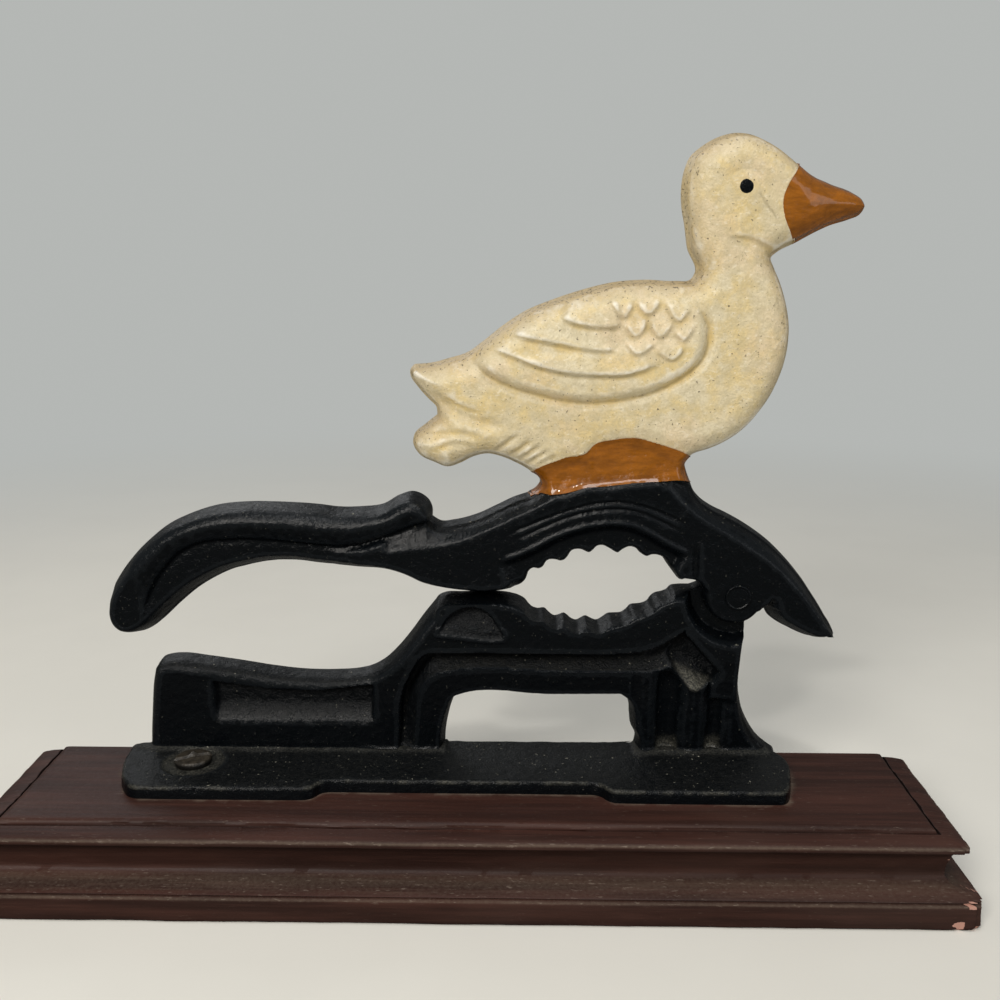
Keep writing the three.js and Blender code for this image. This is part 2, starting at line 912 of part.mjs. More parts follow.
function gooseSolid() {
  const edge = outline(
    smooth(gooseShape(gooseBackShares)),
    smooth(gooseShape(gooseNeckShares)),
    smooth(gooseShape(gooseBeakShares)),
    smooth(gooseShape(gooseBreastShares)),
    gooseShape(gooseFootShares),
    smooth(gooseShape(gooseTailShares)),
  );
  const swells = [bodySwellShares, breastSwellShares, headSwellShares, beakSwellShares, moundSwellShares];
  const [eye] = gooseShape([eyeShares]);
  const flat = slab(edge, 0, leverThickness);
  const wing = smooth(gooseShape([...wingShares, wingShares[0]]));
  return joined([
    roundedSlab(edge, gooseEdgeThickness, gooseEdgeRound, gooseEdgeDraft),
    joined(swells.map(gooseSwelling)).intersect(flat),
    roundedSlab(outline(wing), wingFront, wingRound, wingDraft),
    bar(eye, eyeRadius, eyeRadius, gooseEdgeRound, gooseFront + eyeProud),
  ]);
}

// The whole lever casting in one: handle, jaw, cheek, tail and goose
function leverSolid() {
  const lug = point(-lugOffset, pinHeight + lugOffset / 2);
  const handleLine = fromShares(handleGrooveShares, handleLeft, leverRest, handleReach, handleCrest);
  const archLine = fromShares(archGrooveShares, postLeft, leverRest, -postLeft, leverCrest);
  const groove = band(smooth(handleLine), handleGrooveWidth);
  const arch = band(smooth(archLine), archGrooveWidth);
  const rivetHole = rivetRadius + pivotGap;
  const headHole = rivetHeadRadius + pivotGap;
  const lugBack = tongueThickness + pivotGap;
  const tongueRoom = tongueRadius + 2 * pivotGap;
  const plain = roundedSlab(leverOutline(), leverThickness, leverRound, leverDraft);
  return joined([plain, upperTeeth()])
    .subtract(slab(groove, leverThickness - handleGrooveDepth, leverThickness + cutOverrun))
    .subtract(slab(arch, leverThickness - archGrooveDepth, leverThickness + cutOverrun))
    .subtract(bar(pin, tongueRoom, tongueRoom, -cutOverrun, lugBack))
    .add(bar(lug, lugRadius, lugRadius, lugBack, castingFront))
    .add(gooseSolid())
    .subtract(bar(pin, rivetHole, rivetHole, -cutOverrun, castingFront + cutOverrun))
    .subtract(bar(pin, rivetHole, headHole, castingFront - rivetHeadDepth, castingFront));
}

// The paint lines part the lever casting into its black, orange and cream stretches
function leverPieces() {
  const whole = leverSolid();
  const beyond = gooseLength;
  const through = (points) => slab(points, -cutOverrun, castingFront + cutOverrun);
  const moundLine = gooseShape(moundLineShares);
  const bellyLine = gooseShape(bellyLineShares);
  const beakLine = gooseShape(beakLineShares);
  const [first] = moundLine;
  const last = moundLine[moundLine.length - 1];
  const above = through([
    point(first.x - beyond, first.y),
    ...moundLine,
    point(last.x + beyond, last.y),
    point(last.x + beyond, last.y + beyond),
    point(first.x - beyond, first.y + beyond),
  ]);
  const moundKnife = through([...moundLine, ...bellyLine]);
  const beakKnife = through([
    ...beakLine,
    point(last.x + beyond, beakLine[beakLine.length - 1].y),
    point(last.x + beyond, beakLine[0].y),
  ]);
  const figure = whole.intersect(above);
  return {
    lever: whole.subtract(above),
    mound: figure.intersect(moundKnife),
    beak: figure.intersect(beakKnife),
    body: figure.subtract(moundKnife).subtract(beakKnife),
  };
}

function pivotRivet() {
  const front = castingFront + rivetProud;
  return joined([
    bar(pin, rivetRadius, rivetRadius, 0, front),
    bar(pin, rivetRadius, rivetHeadRadius, front - rivetHeadDepth, front),
    bar(pin, rivetTailRadius, rivetRadius, 0, rivetTailDepth),
  ]);
}

// A screwdriver slot across an upright screw, cut about the given height
function screwSlot(x, y, height, headRadius, turn) {
  const slot = new THREE.BoxGeometry(2 * headRadius + cutOverrun, screwSlotWidth, 2 * screwSlotDepth);
  slot.rotateZ(turn);
  slot.translate(x, y, height);
  return toSolid(slot);
}

// A slotted round-head screw, seated on the spot face of the left pad
function plateScrew() {
  const seat = plateTop - spotFaceDepth;
  const rim = seat + screwHeadHeight / 4;
  const crown = seat + screwHeadHeight;
  const profile = [
    point(screwShankRadius, plateTop - screwLength),
    point(screwShankRadius, seat),
    point(screwHeadRadius, seat),
  ];
  for (let i = 0; i < 2 * curveSteps; i += 1) {
    const turn = ((Math.PI / 2) * i) / (2 * curveSteps);
    profile.push(point(screwHeadRadius * Math.cos(turn), rim + (crown - rim) * Math.sin(turn)));
  }
  return turned(screwX, screwY, profile)
    .subtract(screwSlot(screwX, screwY, crown, screwHeadRadius, -Math.PI / 9));
}

// A flat-head screw let into the plinth's underside, up into the plate below the right leg
function underScrew() {
  const profile = [
    point(underHeadRadius, underHeadRecess),
    point(screwShankRadius, underHeadRecess + underHeadHeight),
    point(screwShankRadius, underScrewTop),
  ];
  return turned(underScrewX, underScrewY, profile)
    .subtract(screwSlot(underScrewX, underScrewY, underHeadRecess, underHeadRadius, 0));
}

const castLever = leverPieces();
const press = new THREE.Group();
press.name = 'lever_nutcracker_press';
press.add(toMesh('plinth_board', plinthBoard(), materials.wood));
press.add(toMesh('base_casting', baseCasting(), materials.blackIron));
press.add(toMesh('lever_casting', castLever.lever, materials.blackIron));
press.add(toMesh('goose_mound', castLever.mound, materials.orangePaint));
press.add(toMesh('goose_body', castLever.body, materials.creamPaint));
press.add(toMesh('goose_beak', castLever.beak, materials.orangePaint));
press.add(toMesh('pivot_rivet', pivotRivet(), materials.blackIron));
press.add(toMesh('plate_screw', plateScrew(), materials.screwSteel));
press.add(toMesh('under_screw', underScrew(), materials.screwSteel));

export default press;
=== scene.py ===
import bpy
import numpy as np
from bpy.props import FloatProperty, FloatVectorProperty, PointerProperty
from mathutils import Matrix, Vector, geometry


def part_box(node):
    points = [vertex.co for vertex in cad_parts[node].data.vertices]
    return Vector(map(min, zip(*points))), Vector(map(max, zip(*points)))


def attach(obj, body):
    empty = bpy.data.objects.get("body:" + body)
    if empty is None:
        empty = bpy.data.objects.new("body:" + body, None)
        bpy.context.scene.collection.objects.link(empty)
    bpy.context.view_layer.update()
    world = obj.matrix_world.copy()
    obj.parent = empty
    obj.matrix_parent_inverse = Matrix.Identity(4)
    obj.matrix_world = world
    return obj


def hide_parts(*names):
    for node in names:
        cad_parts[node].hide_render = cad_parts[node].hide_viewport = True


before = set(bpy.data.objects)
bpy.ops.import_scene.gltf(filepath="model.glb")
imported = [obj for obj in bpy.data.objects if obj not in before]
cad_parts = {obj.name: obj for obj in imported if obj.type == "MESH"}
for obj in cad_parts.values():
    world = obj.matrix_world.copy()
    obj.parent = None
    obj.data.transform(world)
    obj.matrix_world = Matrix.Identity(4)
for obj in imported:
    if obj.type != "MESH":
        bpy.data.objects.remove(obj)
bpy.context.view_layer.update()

bl_info = {
    "name": "Lever nutcracker press",
    "version": (1, 0, 0),
    "blender": (4, 5, 0),
    "location": "View3D > Sidebar > Nutcracker",
    "description": "Builds a cast lever nutcracker with a painted goose on a moulded wooden plinth",
    "category": "Add Mesh",
}

MM = 0.001

# Measured places in millimetres: across from the pivot pin (x), and up from the foot plate's top (z)

PLINTH_LOW, PLINTH_HIGH = (np.array(corner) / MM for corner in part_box("plinth_board"))
PIN_X = 72.0
PLATE_TOP = 25.5
PLINTH_TOP = 22.0
CASTING_BACK = 25.0
PIN = (0.0, 46.3)
LUG_CENTRE, LUG_RADIUS = (-0.8, 46.7), 8.2

HANDLE_TOP = [
    (-171.5, 42.8), (-169.8, 47.1), (-166.8, 51.4), (-160.3, 58.4), (-153.9, 63.4), (-147.6, 66.4),
    (-140.3, 68.7), (-132.1, 69.6), (-124.9, 69.6), (-113.2, 69.0), (-107.2, 68.3), (-101.2, 68.4),
    (-95.2, 69.2), (-90.5, 71.8), (-86.9, 72.7), (-84.6, 71.9), (-82.7, 70.2), (-81.9, 68.2), (-81.9, 65.9),
]
LEVER_TOP = [
    (-81.9, 65.9), (-79.7, 64.6), (-75.8, 64.9), (-69.6, 66.6), (-64.1, 69.2), (-59.8, 71.3), (-56.0, 72.6),
]
MOUND_LEFT = [(-56.0, 72.6), (-53.6, 74.2), (-52.7, 75.8), (-53.4, 77.3), (-55.4, 78.6)]
GOOSE_TAIL = [
    (-55.4, 78.6), (-59.3, 80.7), (-63.1, 82.3), (-66.8, 83.1), (-70.9, 82.2), (-74.1, 80.6), (-77.6, 79.5),
    (-81.2, 80.7), (-85.2, 82.8), (-86.9, 85.9), (-86.4, 88.5), (-83.4, 91.2), (-80.3, 93.7),
]
TAIL_UPPER = [
    (-80.3, 93.7), (-80.5, 95.6), (-82.3, 97.5), (-85.3, 100.9), (-87.3, 104.1), (-87.3, 105.6),
    (-86.2, 107.0),
]
GOOSE_BACK = [
    (-86.2, 107.0), (-81.6, 107.4), (-77.1, 108.6), (-72.3, 110.1), (-68.4, 112.8), (-63.1, 117.0),
    (-56.9, 121.0), (-49.8, 123.9), (-41.8, 126.5), (-34.1, 128.3), (-26.1, 128.9), (-18.3, 128.6),
    (-14.4, 129.0), (-13.4, 130.6), (-15.6, 136.9), (-16.5, 142.4), (-17.4, 146.8), (-17.7, 151.2),
    (-17.1, 155.9), (-15.7, 159.3), (-13.0, 161.7), (-9.4, 163.8), (-4.7, 165.0), (-0.9, 164.7),
    (3.0, 163.1), (6.0, 161.4), (9.0, 159.2), (10.8, 157.8),
]
BEAK = [
    (10.8, 157.8), (14.4, 155.1), (19.6, 152.7), (25.4, 150.5), (27.8, 148.9), (28.7, 146.8),
    (27.8, 145.3), (25.0, 144.0), (20.5, 142.6), (17.0, 141.0), (14.2, 139.5), (11.3, 137.9),
]
BREAST = [
    (11.3, 137.9), (7.6, 136.0), (5.9, 134.3), (6.6, 132.5), (8.1, 129.3), (9.9, 124.4), (11.4, 116.6),
    (10.9, 108.6), (8.8, 101.7), (5.4, 95.3), (1.4, 90.3), (-5.2, 85.8), (-9.6, 84.1), (-12.8, 83.2),
]
MOUND_RIGHT = [(-12.8, 83.2), (-14.3, 81.2), (-13.9, 79.2), (-12.7, 76.2)]
TAIL_TOP = [
    (-12.7, 76.2), (-11.7, 73.8), (-9.7, 71.4), (-6.7, 69.3), (-2.8, 67.4), (1.1, 65.3), (5.0, 62.8),
    (9.0, 59.8), (13.0, 56.0), (17.1, 51.4), (21.3, 45.7), (25.2, 39.6), (27.5, 35.9), (28.0, 34.7),
]
TAIL_UNDER = [
    (28.0, 34.7), (27.2, 33.6), (25.0, 32.4), (22.3, 32.2), (19.2, 33.2), (15.9, 34.8), (12.6, 36.6),
    (10.2, 38.6), (8.7, 41.6), (7.9, 43.2), (7.0, 42.6), (6.2, 41.6),
]
LEVER_JAW_END = [(-8.95, 47.6), (-10.2, 48.8), (-12.8, 49.5), (-15.6, 49.8)]
UPPER_TEETH = [
    (-15.6, 49.8), (-17.5, 52.3), (-18.8, 54.2), (-19.4, 55.2), (-20.5, 56.1), (-22.6, 56.5), (-24.1, 56.0),
    (-26.1, 57.0), (-27.4, 58.3), (-28.7, 58.7), (-30.3, 58.0), (-31.6, 57.0), (-34.8, 58.4), (-36.1, 59.0),
    (-37.3, 58.8), (-38.1, 57.9), (-39.3, 57.0), (-42.4, 57.9), (-43.9, 57.6), (-44.8, 56.2), (-45.9, 55.0),
    (-47.2, 54.6), (-48.7, 55.0), (-50.3, 54.9), (-51.7, 53.0), (-53.1, 52.4), (-54.5, 52.6), (-55.5, 51.6),
    (-55.9, 50.1), (-56.8, 48.7), (-58.8, 46.6), (-60.6, 45.4),
]
REST_FLAT = [(-60.6, 45.4), (-62.4, 45.0), (-74.8, 44.9), (-78.0, 45.3)]
HANDLE_UNDER = [
    (-78.0, 45.3), (-82.0, 46.1), (-85.4, 47.1), (-89.3, 49.0), (-93.4, 50.4), (-103.2, 51.4), (-113.1, 52.4),
    (-119.9, 53.2), (-126.1, 53.0), (-132.0, 51.9), (-137.5, 50.4), (-142.0, 48.3), (-146.8, 45.4),
    (-152.3, 40.9), (-157.8, 35.8), (-160.4, 33.8), (-163.0, 32.6), (-165.6, 32.3), (-168.4, 33.0),
    (-170.8, 35.4), (-171.9, 39.0), (-171.5, 42.8),
]

BEAK_ROOT = [
    (10.8, 157.8), (9.9, 156.0), (7.6, 152.6), (6.2, 148.5), (6.8, 144.3), (8.6, 140.7), (9.9, 138.9),
    (11.3, 137.9),
]
MOUND_UPPER = [
    (-55.4, 78.6), (-54.0, 80.2), (-50.7, 81.9), (-45.5, 83.8), (-41.2, 84.9), (-38.7, 87.1), (-33.9, 88.3),
    (-28.5, 88.8), (-23.8, 87.8), (-19.1, 86.2), (-15.6, 84.9), (-12.8, 83.2),
]
MOUND_LOWER = [
    (-56.0, 72.6), (-53.4, 73.2), (-50.0, 73.7), (-45.3, 74.5), (-41.4, 75.6), (-36.2, 76.1), (-28.1, 77.0),
    (-21.4, 77.5), (-15.4, 77.4), (-12.7, 76.2),
]

FINGER_GROOVE = [
    (-159.3, 41.9), (-158.5, 43.9), (-156.5, 47.8), (-153.6, 52.0), (-149.2, 56.7), (-143.8, 59.4),
    (-136.0, 60.4), (-124.1, 60.3), (-116.0, 59.6), (-109.4, 59.0), (-104.6, 58.9), (-100.8, 59.5),
    (-96.2, 60.9), (-91.9, 62.3), (-87.0, 64.4), (-83.3, 65.8), (-79.4, 66.9),
]
BEVEL_FOOT = [
    (-97.0, 57.4), (-90.0, 58.3), (-81.0, 59.3), (-74.6, 60.8), (-66.1, 64.4), (-57.4, 68.5), (-49.0, 72.8),
    (-46.0, 74.6),
]
TAIL_RIDGE = [
    (-19.5, 75.4), (-14.9, 71.0), (-10.1, 67.5), (-2.5, 62.9), (3.2, 59.2), (9.6, 54.6), (16.5, 47.6),
    (22.4, 39.9), (26.4, 34.6),
]
JAW_BEAD = [
    (-64.2, 56.2), (-60.6, 57.0), (-55.4, 59.2), (-48.9, 62.6), (-40.2, 65.6), (-33.6, 66.4), (-28.6, 65.8),
    (-24.0, 63.9), (-19.2, 61.1), (-13.1, 58.0),
]
ARCH_LINES = (
    [
        (-62.6, 62.8), (-57.4, 64.9), (-51.6, 67.4), (-43.1, 70.4), (-36.6, 71.7), (-31.0, 71.8),
        (-24.4, 70.4), (-18.4, 68.0), (-13.2, 65.6),
    ],
    [
        (-61.0, 61.3), (-56.8, 62.9), (-51.0, 65.6), (-43.1, 68.6), (-36.6, 69.8), (-31.0, 70.0),
        (-25.0, 68.7), (-19.6, 66.2), (-14.4, 63.6),
    ],
)

WING_LOWER = [
    (-69.8, 108.2), (-65.5, 104.9), (-60.1, 102.4), (-54.6, 100.8), (-48.3, 99.3), (-42.0, 98.5),
    (-34.1, 99.0), (-26.3, 100.6), (-20.2, 103.1), (-15.6, 106.1), (-12.3, 109.6), (-11.2, 113.4),
    (-11.4, 117.3), (-13.6, 121.8),
]
WING_UPPER = [
    (-13.6, 121.8), (-16.3, 124.3), (-21.0, 126.2), (-27.1, 126.3), (-34.8, 125.6), (-40.9, 125.0),
    (-47.1, 124.0), (-54.0, 121.0), (-60.1, 117.4), (-65.5, 113.0), (-69.8, 108.2),
]
FEATHERS = (
    [(-48.6, 119.4), (-45.4, 118.0), (-42.3, 117.3), (-36.1, 116.8), (-32.3, 117.1)],
    [
        (-61.6, 115.6), (-58.0, 114.4), (-54.7, 113.7), (-48.4, 112.6), (-42.2, 111.4), (-36.8, 111.0),
        (-33.0, 111.4),
    ],
    [
        (-67.0, 111.5), (-63.2, 110.4), (-59.3, 109.0), (-53.0, 106.8), (-45.2, 105.2), (-38.2, 104.8),
        (-31.2, 105.0), (-26.4, 106.4), (-21.6, 108.6),
    ],
)
SCALLOPS = (
    [(-36.2, 125.0), (-35.0, 121.9), (-33.4, 119.9), (-31.9, 119.4), (-30.4, 121.2), (-29.4, 124.6)],
    [(-29.4, 124.6), (-28.4, 121.9), (-26.9, 120.4), (-25.2, 120.4), (-23.7, 122.2), (-22.5, 124.8)],
    [(-22.5, 124.8), (-20.9, 120.7), (-19.6, 118.9), (-18.2, 118.5), (-16.4, 120.3), (-14.9, 122.8)],
    [(-31.9, 119.4), (-31.6, 116.8), (-30.4, 115.0), (-28.9, 114.5), (-27.2, 115.9), (-26.0, 120.2)],
    [(-26.0, 120.2), (-25.2, 116.4), (-23.6, 114.5), (-21.9, 114.8), (-20.3, 116.9), (-19.0, 118.8)],
    [(-20.3, 116.9), (-19.1, 115.0), (-17.2, 113.7), (-15.2, 115.4), (-14.0, 118.6)],
    [(-32.6, 114.9), (-31.2, 111.9), (-29.2, 110.2), (-27.0, 110.6), (-24.8, 112.4), (-23.4, 114.4)],
    [(-24.6, 112.2), (-22.4, 109.8), (-19.8, 108.8), (-17.6, 110.4), (-16.6, 113.6)],
)
TAIL_GROOVES = (
    ([(-82.4, 102.4), (-79.2, 98.6), (-75.6, 95.4), (-71.4, 93.4), (-66.4, 92.2), (-61.0, 91.8)], 1.3, 1.5),
    ([(-78.6, 99.6), (-75.4, 97.4), (-71.4, 95.6), (-66.8, 94.8)], 0.7, 0.9),
    ([(-84.4, 88.0), (-80.2, 89.0), (-75.8, 89.6), (-71.4, 89.2), (-67.4, 87.8)], 0.7, 1.1),
    ([(-81.6, 84.4), (-77.6, 86.2), (-73.4, 86.8), (-69.6, 86.2)], 0.6, 1.0),
)
COMB_STROKES = (
    [(-65.4, 84.6), (-61.8, 87.4), (-58.0, 90.4)],
    [(-61.6, 83.4), (-58.4, 85.8), (-54.6, 88.8)],
    [(-59.2, 82.2), (-56.0, 84.6), (-52.2, 87.4)],
    [(-57.2, 81.2), (-54.0, 83.4), (-50.0, 86.0)],
    [(-55.0, 80.4), (-52.0, 82.2), (-48.0, 84.6)],
)
EYE = (-2.9, 151.6)
BROW = [(-8.0, 153.4), (-6.0, 155.2), (-3.0, 155.9), (-0.2, 155.0), (1.8, 152.6)]
CHEEK_FOLD = [(-9.4, 139.6), (-5.4, 139.5), (-1.0, 139.0), (2.4, 137.6), (5.2, 136.6), (8.4, 136.2)]
TAIL_CHIP = (-87.0, 105.0)
HAIR_CRACK = [(0.2, 150.0), (1.3, 148.6), (2.3, 147.0), (3.8, 145.4), (5.0, 143.5)]

BASE_LEFT = [(-162.4, -1.2), (-162.1, 4.0), (-161.2, 12.0), (-160.2, 19.6), (-159.4, 23.2)]
BASE_TOP = [
    (-159.4, 23.2), (-158.0, 24.8), (-155.4, 25.6), (-151.8, 25.8), (-145.9, 25.1), (-136.6, 23.8),
    (-127.3, 22.3), (-118.3, 21.3), (-109.3, 21.2), (-103.6, 21.6), (-99.4, 22.6), (-95.8, 24.6),
    (-91.9, 28.3), (-88.1, 33.0), (-84.4, 38.2), (-81.4, 42.0),
]
BASE_REST = [
    (-81.4, 42.0), (-80.3, 43.4), (-78.8, 44.1), (-74.0, 44.4), (-66.0, 44.6), (-62.6, 44.5), (-60.8, 44.2),
]
JAW_RIM = [
    (-81.0, 43.6), (-78.1, 44.2), (-65.5, 44.0), (-59.6, 42.7), (-51.8, 39.6), (-43.7, 36.8), (-36.4, 36.6),
    (-30.0, 38.4), (-22.9, 41.8), (-17.1, 44.9), (-12.6, 44.4),
]
LOWER_TEETH = [
    (-60.8, 44.2), (-58.4, 43.5), (-56.7, 42.5), (-55.7, 41.2), (-54.5, 40.1), (-53.2, 39.7), (-51.2, 39.8),
    (-50.2, 38.8), (-48.4, 37.6), (-47.2, 37.9), (-45.9, 38.4), (-44.9, 37.8), (-43.9, 36.9), (-42.4, 36.4),
    (-41.2, 37.0), (-39.9, 37.6), (-38.4, 36.9), (-36.8, 36.4), (-35.2, 37.3), (-33.8, 38.3), (-31.8, 38.5),
    (-30.1, 38.7), (-28.8, 39.6), (-27.5, 41.0), (-26.0, 41.2), (-24.5, 41.4), (-22.9, 42.2), (-22.2, 43.3),
    (-20.9, 44.4), (-19.3, 44.8), (-17.7, 45.5), (-16.7, 46.6), (-15.2, 46.9), (-11.7, 47.0),
]
BASE_NECK = [(-11.7, 47.0), (-9.4, 47.9), (-6.9, 49.4)]
BASE_RIGHT = [
    (4.9, 41.2), (3.8, 38.2), (3.7, 35.0), (3.2, 33.4), (2.9, 30.7), (2.6, 25.0), (2.6, 19.9), (3.4, 15.2),
    (4.8, 10.4), (6.8, 6.2), (9.1, 2.8), (12.6, -0.2), (14.0, -1.2),
]
WINDOW = (
    [(-25.7, -0.6), (-25.2, 2.7), (-26.6, 6.0), (-27.0, 9.2), (-27.3, 12.4), (-28.4, 14.8), (-30.6, 16.6)],
    [
        (-30.6, 16.6), (-50.0, 16.4), (-73.4, 16.4), (-75.4, 15.6), (-76.8, 12.6), (-78.2, 7.6),
        (-79.0, 2.4), (-79.1, -0.6),
    ],
    [(-79.1, -0.6), (-25.7, -0.6)],
)
CHANNEL_OUTER = [
    (-92.2, -2.0), (-91.5, 6.0), (-90.9, 15.0), (-89.8, 19.4), (-88.0, 23.4), (-86.2, 27.0), (-83.6, 29.4),
    (-77.0, 29.8), (-47.1, 29.8), (-32.0, 30.0), (-23.4, 31.2), (-17.6, 33.9), (-13.6, 36.8),
]
CHANNEL_INNER = [
    (-12.6, 30.0), (-17.4, 26.4), (-21.4, 25.0), (-26.0, 24.8), (-45.0, 24.6), (-77.3, 24.4), (-80.6, 23.6),
    (-84.0, 20.6), (-86.0, 16.0), (-86.6, 10.0), (-87.4, -2.0),
]
TRIANGLE = [(-13.9, 36.4), (-3.4, 24.6), (-4.6, 22.2), (-9.6, 18.6), (-11.6, 19.0), (-18.4, 28.6)]
HALF_MOON = [
    (-80.4, 35.2), (-78.6, 38.8), (-75.6, 41.7), (-71.4, 43.1), (-67.2, 41.9), (-64.4, 39.0), (-62.2, 35.4),
]
PLATE_OUTLINE = [
    (-89.4, 25.0), (-89.8, 21.4), (-90.8, 20.8), (-93.8, 20.1), (-95.3, 18.5), (-94.9, 11.0), (-92.6, 2.6),
    (-89.6, -2.6), (-87.4, -4.3), (-84.6, -4.8), (-43.4, -4.8), (-40.8, -4.4), (-39.3, -2.9), (-38.5, -1.2),
    (-36.9, -0.3), (-34.4, -0.2), (31.6, -0.2), (34.2, -0.4), (35.8, -1.5), (36.7, -3.2), (38.2, -4.5),
    (40.8, -4.8), (80.6, -4.9), (83.0, -4.5), (84.6, -2.0), (86.0, 3.0), (87.6, 9.5), (87.9, 13.6),
    (87.3, 16.6), (85.8, 19.8), (84.6, 22.2), (84.0, 25.0),
]
# Dust along the moulding by height. Its pale band on the nosing's top edge is also a painted highlight
MOULDING_DUST_AND_EDGE_LIGHT = (
    (0, 0.3), (6.0, 0.15), (6.3, 1.1), (6.7, 1.0), (7.2, 0.5), (8.0, 0.8), (9.2, 1.05), (9.8, 0.75),
    (10.6, 0.15), (18.6, 0.05), (19.5, 0.2), (19.65, 1.25), (20.15, 1.25), (20.3, 0.45), (21.0, 0.45),
    (21.3, 0.8), (21.9, 0.65), (22.0, 0.35),
)
SCREW = (-75.1, 10.0)
SPOT_FACE = 8.7

LEG_SECTION = (
    (-27.4, -1.6), (-26.2, -0.5), (-24.4, 0.0), (-22.2, -0.1), (-20.6, -0.9), (-19.4, -2.4), (-18.0, -3.2),
    (-16.4, -3.3), (-15.0, -2.6), (-13.8, -1.3), (-12.4, -0.3), (-10.2, 0.1), (-8.0, -0.2), (-6.6, -1.1),
    (-5.4, -2.5), (-4.2, -3.0), (-3.0, -2.4), (-1.6, -1.2), (0.4, -0.6), (3.0, -0.8), (14.0, -1.2),
)


# Curves, distances and soft steps, all on whole arrays


STEP = 0.55
TINY = 1e-6


def walked(dense, step=STEP):
    """Points along a line in nearly equal steps."""
    along = np.concatenate([[0], np.cumsum(np.linalg.norm(np.diff(dense, axis=0), axis=1))])
    even = np.linspace(0, along[-1], max(2, int(round(along[-1] / step)) + 1))
    return np.stack([np.interp(even, along, dense[:, i]) for i in (0, 1)], axis=1)


def flowing(points):
    """A smooth line through the points: cubic pieces whose slope at a point is the mean of the slopes
    beside it, weighted by the other side's length. It is then walked in equal steps."""
    p = np.array(points, float)
    if len(p) == 2:
        return walked(p)
    h = np.linalg.norm(np.diff(p, axis=0), axis=1)[:, None]
    slope = np.diff(p, axis=0) / h
    inner = (h[1:] * slope[:-1] + h[:-1] * slope[1:]) / (h[1:] + h[:-1])
    m = np.concatenate([slope[:1], inner, slope[-1:]])
    u = np.linspace(0, 1, 24, endpoint=False)[None, :, None]
    a, b, ma, mb, w = p[:-1, None], p[1:, None], m[:-1, None], m[1:, None], h[:, None]
    dense = (2 * u**3 - 3 * u**2 + 1) * a + (u**3 - 2 * u**2 + u) * w * ma
    dense = dense + (3 * u**2 - 2 * u**3) * b + (u**3 - u**2) * w * mb
    return walked(np.concatenate([dense.reshape(-1, 2), p[-1:]]))


def joined(*runs):
    """One closed loop of the smooth runs, with a corner where two runs meet."""
    return np.concatenate([flowing(run)[:-1] for run in runs])


def arc(centre, radius, start, end, step=STEP):
    """Points on a circle from one angle to the other, in degrees."""
    count = max(3, int(abs(np.radians(end - start)) * radius / step))
    angle = np.radians(np.linspace(start, end, count))
    return np.stack([centre[0] + radius * np.cos(angle), centre[1] + radius * np.sin(angle)], axis=1)


def corner_cut(points, rounds=2):
    """A closed loop with its corners cut off, a quarter of the way along each side, round after round."""
    p = np.array(points, float)
    for _ in range(rounds):
        n = np.roll(p, -1, axis=0)
        p = np.stack([0.75 * p + 0.25 * n, 0.25 * p + 0.75 * n], axis=1).reshape(-1, 2)
    return walked(np.concatenate([p, p[:1]]))[:-1]


def turned_left(loop):
    """The loop walked with its inside on the left, where its doubled area, a sum of cross products, is
    positive."""
    after = np.roll(loop, -1, axis=0)
    area = np.sum(loop[:, 0] * after[:, 1] - loop[:, 1] * after[:, 0])
    return loop if area > 0 else loop[::-1]


def nearest(p, line, closed=False):
    """For each point the distance to the line, the nearest point on it, the way along it from 0 to 1
    and the side: positive on the left of the line's direction."""
    a = np.asarray(line, float)
    b = np.roll(a, -1, axis=0) if closed else a[1:]
    a = a if closed else a[:-1]
    d = b - a
    length2 = np.maximum((d**2).sum(1), 1e-12)
    passed = np.concatenate([[0], np.cumsum(np.sqrt(length2))])
    parts = []
    for block in np.array_split(p, max(1, len(p) * len(a) // 1_500_000)):
        rel = block[:, None] - a[None]
        t = np.clip((rel * d).sum(2) / length2, 0, 1)
        off = rel - t[..., None] * d
        dist2 = (off**2).sum(2)
        k = dist2.argmin(1)
        r = np.arange(len(block))
        cross = d[k, 0] * rel[r, k, 1] - d[k, 1] * rel[r, k, 0]
        tk = t[r, k]
        way = (passed[k] + tk * np.sqrt(length2[k])) / passed[-1]
        parts.append(np.column_stack([np.sqrt(dist2[r, k]), a[k] + tk[:, None] * d[k], way, np.sign(cross)]))
    out = np.concatenate(parts)
    return out[:, 0], out[:, 1:3], out[:, 3], out[:, 4]


def inside(p, loops):
    """Even-odd test: a point is inside where a ray to the right crosses the loops an odd number of times."""
    odd = np.zeros(len(p), bool)
    for loop in loops:
        a, b = loop, np.roll(loop, -1, axis=0)
        for block in np.array_split(np.arange(len(p)), max(1, len(p) * len(a) // 2_000_000)):
            q = p[block]
            over = (a[None, :, 1] > q[:, None, 1]) != (b[None, :, 1] > q[:, None, 1])
            rise = np.where(np.abs(b[:, 1] - a[:, 1]) < 1e-12, 1e-12, b[:, 1] - a[:, 1])
            cut = a[:, 0] + (q[:, None, 1] - a[:, 1]) * (b[:, 0] - a[:, 0]) / rise
            odd[block] ^= ((over & (q[:, None, 0] < cut)).sum(1) % 2).astype(bool)
    return odd


def ease(low, high, x):
    """0 below low, 1 above high, and a smooth S between: three times the square less twice the cube."""
    t = np.clip((x - low) / (high - low), 0, 1)
    return t * t * (3 - 2 * t)


def softer(a, b, radius):
    """The lesser of two heights with the corner between them rounded over the radius."""
    t = np.clip(0.5 + 0.5 * (b - a) / radius, 0, 1)
    return b + (a - b) * t - radius * t * (1 - t) * 0.5


